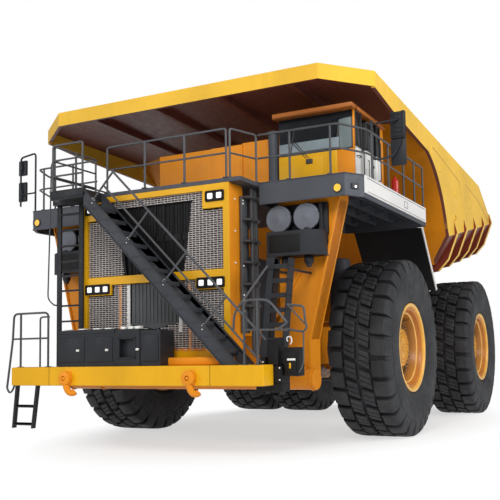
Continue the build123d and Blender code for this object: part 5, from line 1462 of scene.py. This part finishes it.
pipe = [turned([(-2.905, 0.0), (-2.905, 0.18), (-2.89, 0.1905), (2.89, 0.1905), (2.905, 0.18),
                (2.905, 0.0)], (0, -3.02, 1.33), LEFT, 48)]
for x in (-2.83, -2.0, 2.0, 2.83):
    pipe.append(turned([(-0.012, 0.185), (-0.012, 0.21), (0.012, 0.21), (0.012, 0.185)],
                       (x, -3.02, 1.33), LEFT, 48))
add_piece("cross_pipe", pipe, slot_of["front_collar"])
STACK_X, STACK_Y = 1.80, -2.45
stack = [turned([(5.03, 0.0), (5.03, 0.135), (5.045, 0.14), (5.06, 0.112), (6.20, 0.112), (6.20, 0.098),
                 (6.14, 0.098), (6.14, 0.0)], (STACK_X, STACK_Y, 0.0), UP),
         turned([(0.0, 0.0), (0.0, 0.15), (0.02, 0.145), (0.075, 0.02), (0.08, 0.0)],
                (STACK_X, STACK_Y, 6.22), UP, 32)]
for x, y in ((0.09, 0.0), (-0.045, 0.078), (-0.045, -0.078)):
    leg = (STACK_X + x, STACK_Y + y)
    stack.append(tube([(*leg, 6.16), (*leg, 6.225)], 0.008, 0, 6))
add_piece("round_stack", stack, slot_of["deck_stack"], ("deck_stack",))

# %% [markdown]
# ## Boarding ladder and bumper end
#
# A steep ladder climbs from the bumper's end between two plate stiles. At its foot hang
# dark boxes with bolts, a ring and a small tag. Handrails loop outward beside it, and
# one bent tube rises from the stair's foot towards its head.

# %% Ladder details
STILE_LOW, STILE_RUN = np.array([-4.40, 1.13]), np.array([0.48, 2.37])
LADDER_TREADS, FIRST_TREAD, TREAD_STEP, TREAD_SLOPE = 7, 1.80, 0.26, 220 / 1080
ladder = []
low, high = STILE_LOW, STILE_LOW + STILE_RUN
for x0, x1, depth in ((2.38, 2.395, 0.22), (2.515, 2.53, 0.22), (2.38, 2.53, 0.02), (2.795, 2.825, 0.20)):
    ladder.append(prism([low, high, high + (depth, 0), low + (depth, 0)], x0, x1, 0))
for k in range(LADDER_TREADS):
    z = FIRST_TREAD + k * TREAD_STEP
    y = STILE_LOW[0] + (z - STILE_LOW[1]) * TREAD_SLOPE
    ladder.append(boxes([(2.52, 2.80, y - 0.02 + a, y - 0.008 + a, z + 0.012, z + 0.034)
                         for a in np.linspace(0.02, 0.21, 6)]
                        + [(2.52, 2.80, y - 0.022, y - 0.002, z - 0.05, z + 0.034),
                           (2.52, 2.80, y - 0.01, y + 0.20, z - 0.01, z + 0.014)]))
    for x in (2.377, 2.828):
        heads = [(x, y + 0.05, z), (x, y + 0.15, z)]
        ladder.append(studs(heads, (np.sign(x - 2.5), 0, 0), 0.012, 0.012))
box_front = -4.452
dark = [soft_box((2.52, box_front - 0.03, 1.30), (2.60, box_front + 0.25, 1.76)),
        soft_box((2.60, box_front - 0.05, 1.34), (2.92, box_front + 0.25, 1.62), 0.02),
        soft_box((2.66, box_front - 0.065, 1.62), (2.86, box_front + 0.2, 2.05), 0.02),
        soft_box((2.95, box_front - 0.02, 1.44), (3.22, box_front + 0.22, 1.92), 0.02),
        soft_box((3.01, box_front - 0.04, 1.50), (3.18, box_front, 1.86), 0.012)]
ladder += [soft_box((2.38, STILE_LOW[0] + 0.42, 3.30), (2.53, STILE_LOW[0] + 0.62, 3.52), 0.012)]
ladder.append(boxes([(x0, x1, -3.80, -3.0, 3.28, 3.32) for x0, x1 in ((2.41, 2.45), (2.79, 2.82))]))
dark.append(soft_box((2.40, -4.45, 1.18), (2.90, -4.15, 1.62)))
add_piece("ladder_boxes", dark, "black_metal")
add_piece("ladder_fittings", ladder, stands_for=("boarding_ladder",), look="box_grey_painted_shade", crease=40)
lugs = []
for x in (-1.36, 1.36):
    lugs.append(turned([(-0.06, 0.045), (-0.06, 0.10), (-0.045, 0.125), (0.045, 0.125), (0.06, 0.10),
                        (0.06, 0.045), (-0.06, 0.045)], (x, -4.94, 1.43), FORWARD, 32))
    lugs.append(tube([(x, -4.92, 1.38), (x + 0.01, -4.93, 1.27), (x + 0.05, -4.90, 1.17),
                      (x + 0.10, -4.84, 1.15), (x + 0.12, -4.81, 1.18)], 0.060, 0.05, 12))
    lugs.append(soft_box((x - 0.09, -4.90, 1.30), (x + 0.09, -4.86, 1.56), 0.012))
    lugs.append(turned([(0.0, 0.0), (0.0, 0.03), (0.055, 0.03), (0.058, 0.02), (0.058, 0.0)],
                       (x, -4.94, 1.43), FORWARD, 16))
add_piece("hooked_lugs", lugs, slot_of["tow_lugs"], ("tow_lugs",))
fixings = [studs([(2.56, box_front - 0.03, z) for z in (1.36, 1.52, 1.68)], FORWARD, 0.018, 0.015),
           studs([(2.88, box_front - 0.05, z) for z in (1.38, 1.58)], FORWARD, 0.014, 0.012),
           soft_box((3.02, box_front - 0.055, 1.70), (3.17, box_front - 0.03, 1.735), 0.006),
           tube([(3.02, box_front - 0.02, 2.02), (3.02, box_front - 0.05, 2.09),
                 (3.10, box_front - 0.05, 2.10), (3.12, box_front - 0.05, 2.02),
                 (3.08, box_front - 0.03, 1.97)], 0.012, 0.03, 8)]
add_piece("ladder_bolts", fixings, "white_paint")
tag = [soft_box((3.055, box_front - 0.048, 1.57), (3.085, box_front - 0.036, 1.66), 0.003)]
add_piece("ladder_tag", tag, "yellow_paint")
grip_y = -4.45
grips = [tube([(2.09, -4.66, 2.20), (2.11, -4.66, 2.52), (2.26, -4.60, 2.74), (2.44, -4.05, 3.36)],
              0.020, 0.12),
         upright(grip_y, [(3.02, 2.64), (3.32, 2.60), (3.345, 2.34), (3.38, 2.25), (3.31, 2.17),
                          (3.00, 2.23)], 0.019, 0.05),
         upright(grip_y, [(3.02, 2.64), (3.34, 2.30)], 0.015, 0, 8),
         tube([(3.00, grip_y, 2.23), (2.93, -4.20, 2.20)], 0.017, 0, 8),
         tube([(3.02, grip_y, 2.64), (2.93, -4.05, 2.62)], 0.017, 0, 8),
         upright(grip_y, [(3.31, 2.17), (3.30, 1.62), (3.16, 1.44)], 0.014, 0.10, 8)]
add_piece("ladder_grips", grips, look="galvanised_tube", crease=50)

# %% [markdown]
# ## Bumper, radiator side and collar
#
# The bumper is welded from three boxes, so two dark seams cross its face. Beside the
# radiator a grey pipe chase runs up the collar on clamps, with hoses behind it. Along
# the collar's outer edge runs a flange, which catches the light.

# %% Seams, chase and flanges
seams = boxes([(x - 0.004, x + 0.004, -4.8815, -4.46, 1.292, 1.6412) for x in (-1.81, 1.75)]
              + [(-2.7708, -2.7700, -4.60, -4.59, 1.30, 1.63)])
add_piece("bumper_seams", [seams], "black_metal")
foot = [soft_box((-1.7, -4.50, 1.64), (1.85, -4.11, 1.78), 0.03)]
add_piece("grille_sill", foot, slot_of["front_collar"])
face_plate = [soft_box((1.69, -4.085, 1.84), (1.706, -3.60, 4.94), 0.004)]
add_piece("radiator_side_plate", both(face_plate), "orange_paint")
chase = [soft_box((1.72, -3.74, 2.20), (1.765, -3.48, 4.74))]
clamps = []
for z in (4.72, 4.30, 3.90, 3.50, 3.10, 2.70):
    clamps.append(soft_box((1.70, -3.72, z - 0.02), (1.90, -3.30, z + 0.02), 0.008))
    clamps.append(turned([(-0.03, 0.0), (-0.03, 0.04), (0.03, 0.04), (0.03, 0.0)], (1.88, -3.32, z),
                         UP, 16))
for y, radius in ((-3.52, 0.035), (-3.42, 0.026), (-3.35, 0.040)):
    clamps.append(tube([(1.86, y, 1.80), (1.86, y, 3.2), (1.84, y, 4.90)], radius, 0.2))
add_piece("pipe_chase", chase, look="galvanised_tube")
add_piece("hoses_and_clamps", clamps, "black_metal", look="dark_plastic")
heads = [(1.706, -3.90, z) for z in (4.66, 4.07, 3.48)]
heads += [(1.766, -3.70, z) for z in (4.66, 4.60, 3.50, 3.44, 2.9, 2.8, 2.7, 2.6, 2.5)]
add_piece("side_bolts", [studs(heads, LEFT, 0.017, 0.018)], "white_paint")
edge = [(2.79, 2.06), (3.43, 4.63), (3.475, 4.94)]
inner = [(3.440, 4.94), (3.396, 4.64), (2.757, 2.075)]
flange = [prism(edge[:2] + inner[1:], -3.045, -2.605, 1),
          prism([edge[1], edge[2], inner[0], inner[1]], -3.045, -2.605, 1),
          boxes([(2.760, 2.7925, -3.045, -2.605, 1.42, 2.07)])]
gussets = [prism([(2.05, 2.50), (2.10, 2.50), (2.60, 3.30), (2.60, 3.38)], -3.03, -2.998, 1),
           soft_box((1.0, -3.02, 2.10), (1.9, -2.99, 2.16)),
           prism([(2.10, 1.52), (2.70, 1.52), (2.70, 1.56), (2.14, 1.56)], -3.10, -2.998, 1)]
add_piece("collar_flanges", both(flange + gussets), slot_of["front_collar"])

# %% [markdown]
# ## Equipment boxes and low steps
#
# The boxes on the bumper have raised panels and a framed hatch on the front, three
# small pale handles, and pale pads along their top edge. The hanging steps are two
# strips with two treads between them, and they lean outward towards the ground.

# %% Box fittings and low steps
front = -4.76
fittings = [soft_box((-1.66, front - 0.012, 1.72), (-1.06, front + 0.005, 2.19), 0.008),
            soft_box((-1.00, front - 0.012, 1.72), (-0.40, front + 0.005, 2.19), 0.008),
            soft_box((-0.27, front - 0.012, 1.77), (-0.24, front + 0.02, 2.16), 0.006),
            soft_box((0.09, front - 0.012, 1.77), (0.12, front + 0.02, 2.16), 0.006),
            soft_box((-0.27, front - 0.012, 2.13), (0.12, front + 0.02, 2.16), 0.006),
            soft_box((-0.27, front - 0.012, 1.77), (0.12, front + 0.02, 1.80), 0.006),
            soft_box((0.26, front + 0.006, 1.72), (0.60, front + 0.025, 2.20), 0.008)]
add_piece("box_panels", fittings, look="box_grey_painted_shade")
handles = []
for x in (-1.20, -0.52, 0.17):
    handles.append(soft_box((x - 0.03, front - 0.04, 1.92), (x + 0.03, front - 0.01, 1.96), 0.006))
for x in (-0.22, -0.05, 0.10):
    handles.append(soft_box((x, front - 0.006, 2.312), (x + 0.10, front + 0.12, 2.36), 0.008))
add_piece("box_pads", handles, "white_paint")
lid_pads = [soft_box((x, front - 0.011, 2.325), (x + 0.14, front + 0.10, 2.345), 0.006)
            for x in (-1.55, -1.20, -0.85, -0.58)]
add_piece("lid_pads", lid_pads, "white_paint", body="box_lid")
y0, y1 = -4.79, -4.71
strips = [[(-2.745, 1.34), (-2.70, 1.34), (-2.79, 0.47), (-2.835, 0.47)],
          [(-2.225, 1.34), (-2.18, 1.34), (-2.30, 0.47), (-2.345, 0.47)]]
steps = [prism(strip, y0, y1, 1) for strip in strips]
for z in (0.56, 0.90):
    drift = 0.080 * (1.29 - z) / (1.29 - 0.43)
    steps.append(boxes([(-2.70 - drift, -2.22 - drift, y0 + 0.004, y1 - 0.004, z - 0.012, z + 0.012),
                        (-2.70 - drift, -2.22 - drift, y0 + 0.004, y0 + 0.018, z - 0.035, z + 0.022)]))
add_piece("hanging_steps", steps, stands_for=("low_steps",), look="box_grey_painted_shade")

# %% [markdown]
# ## Landing and its ladder
#
# The stair and a ladder meet on a small landing in front of the deck. The ladder is
# upright, behind the equipment boxes, and its treads are bars. A long thin handrail, one
# bent tube, runs down beside it from the rail above and ends well over the bumper.

# %% Landing
parts = [soft_box((-1.94, -4.72, 4.86), (-1.15, -4.10, 5.03), 0.008),
         soft_box((-1.96, -4.735, 4.90), (-1.13, -4.70, 5.045), 0.006)]
parts.append(soft_box((-2.27, -4.32, 4.86), (-1.90, -4.10, 5.03), 0.006))
for x in (-2.26, -1.70):
    parts.append(soft_box((x, -4.20, 1.62), (x + 0.105, -4.17, 4.90), 0.004))
    parts.append(soft_box((x + 0.04, -4.175, 1.62), (x + 0.07, -4.12, 4.90), 0.004))
for z in (4.68, 4.36, 4.04, 3.73, 3.44, 3.14, 2.84, 2.53, 2.24, 1.94):
    parts.append(soft_box((-2.17, -4.20, z - 0.018), (-1.68, -4.14, z + 0.018), 0.008))
add_piece("landing_ladder", parts, stands_for=("right_platform",), look="box_grey_painted_shade")
rail_y = -4.50
long_rail = [upright(rail_y, [(-1.92, 5.70), (-2.14, 5.70), (-2.16, 4.68), (-2.21, 2.96), (-2.04, 2.83),
                              (-1.92, 2.83)], 0.014, 0.10, 8),
             tube([(-1.92, rail_y, 2.83), (-1.92, -4.66, 2.83)], 0.012, 0, 8)]
add_piece("landing_handrail", long_rail, look="galvanised_tube", crease=50)

# %% [markdown]
# ## Body plates
#
# The body is welded from large plates, so weld seams run where they meet: down the
# middle of the lip and along the sides. A round eye with a cross stands on each side,
# with three small pads.

# %% Seams, eyes and pads on the body


def side_skin(y, z):
    """Point of the left side's outer skin: the upright plate leans in toward the tail."""
    return (4.03 - 0.0321 * (y + 2.60) + 0.001, y, z)


def weld(line, radius=0.007):
    """A weld bead: a thin tube along the skin, half sunk in the plate."""
    return tube([side_skin(y, z) for y, z in line], radius, 0, 5)


body_marks = [weld([(1.71, 6.67), (1.66, 6.42)]),
              weld([(1.80, 6.66), (2.60, 6.60), (4.55, 6.42), (4.74, 6.38), (4.88, 6.10), (5.05, 5.36)]),
              weld([(5.60, 6.47), (6.30, 6.42), (7.40, 6.33)]), weld([(7.4, 6.33), (9.1, 5.95)])]
eye_mark = [turned([(-0.02, 0.15), (0.0, 0.155), (0.012, 0.15), (0.012, 0.125), (-0.01, 0.12)],
                   side_skin(4.05, 5.24), LEFT, 36),
            tube([side_skin(4.05, 5.09), side_skin(4.05, 5.39)], 0.012, 0, 6),
            tube([side_skin(3.90, 5.24), side_skin(4.20, 5.24)], 0.012, 0, 6)]
for y, z in ((2.5, 6.28), (4.25, 5.98), (6.1, 5.95)):
    eye_mark.append(soft_box((side_skin(y, z)[0] - 0.02, y - 0.04, z - 0.08),
                             (side_skin(y, z)[0] + 0.01, y + 0.04, z + 0.08)))
add_piece("body_marks", both(body_marks + eye_mark), slot_of["bed_left_side"], body="bed")
lip_y = -3.23
lip_joint = boxes([(-0.004, 0.004, lip_y - 0.0008, lip_y + 0.02, 6.92, 7.19)])
add_piece("lip_joint", [lip_joint], slot_of["bed_canopy"], body="bed")

# %% [markdown]
# ## Quads
#
# The new pieces' quads are counted and printed.

# %% Count the quads
print("quads in the new pieces:", sum(made.values()))
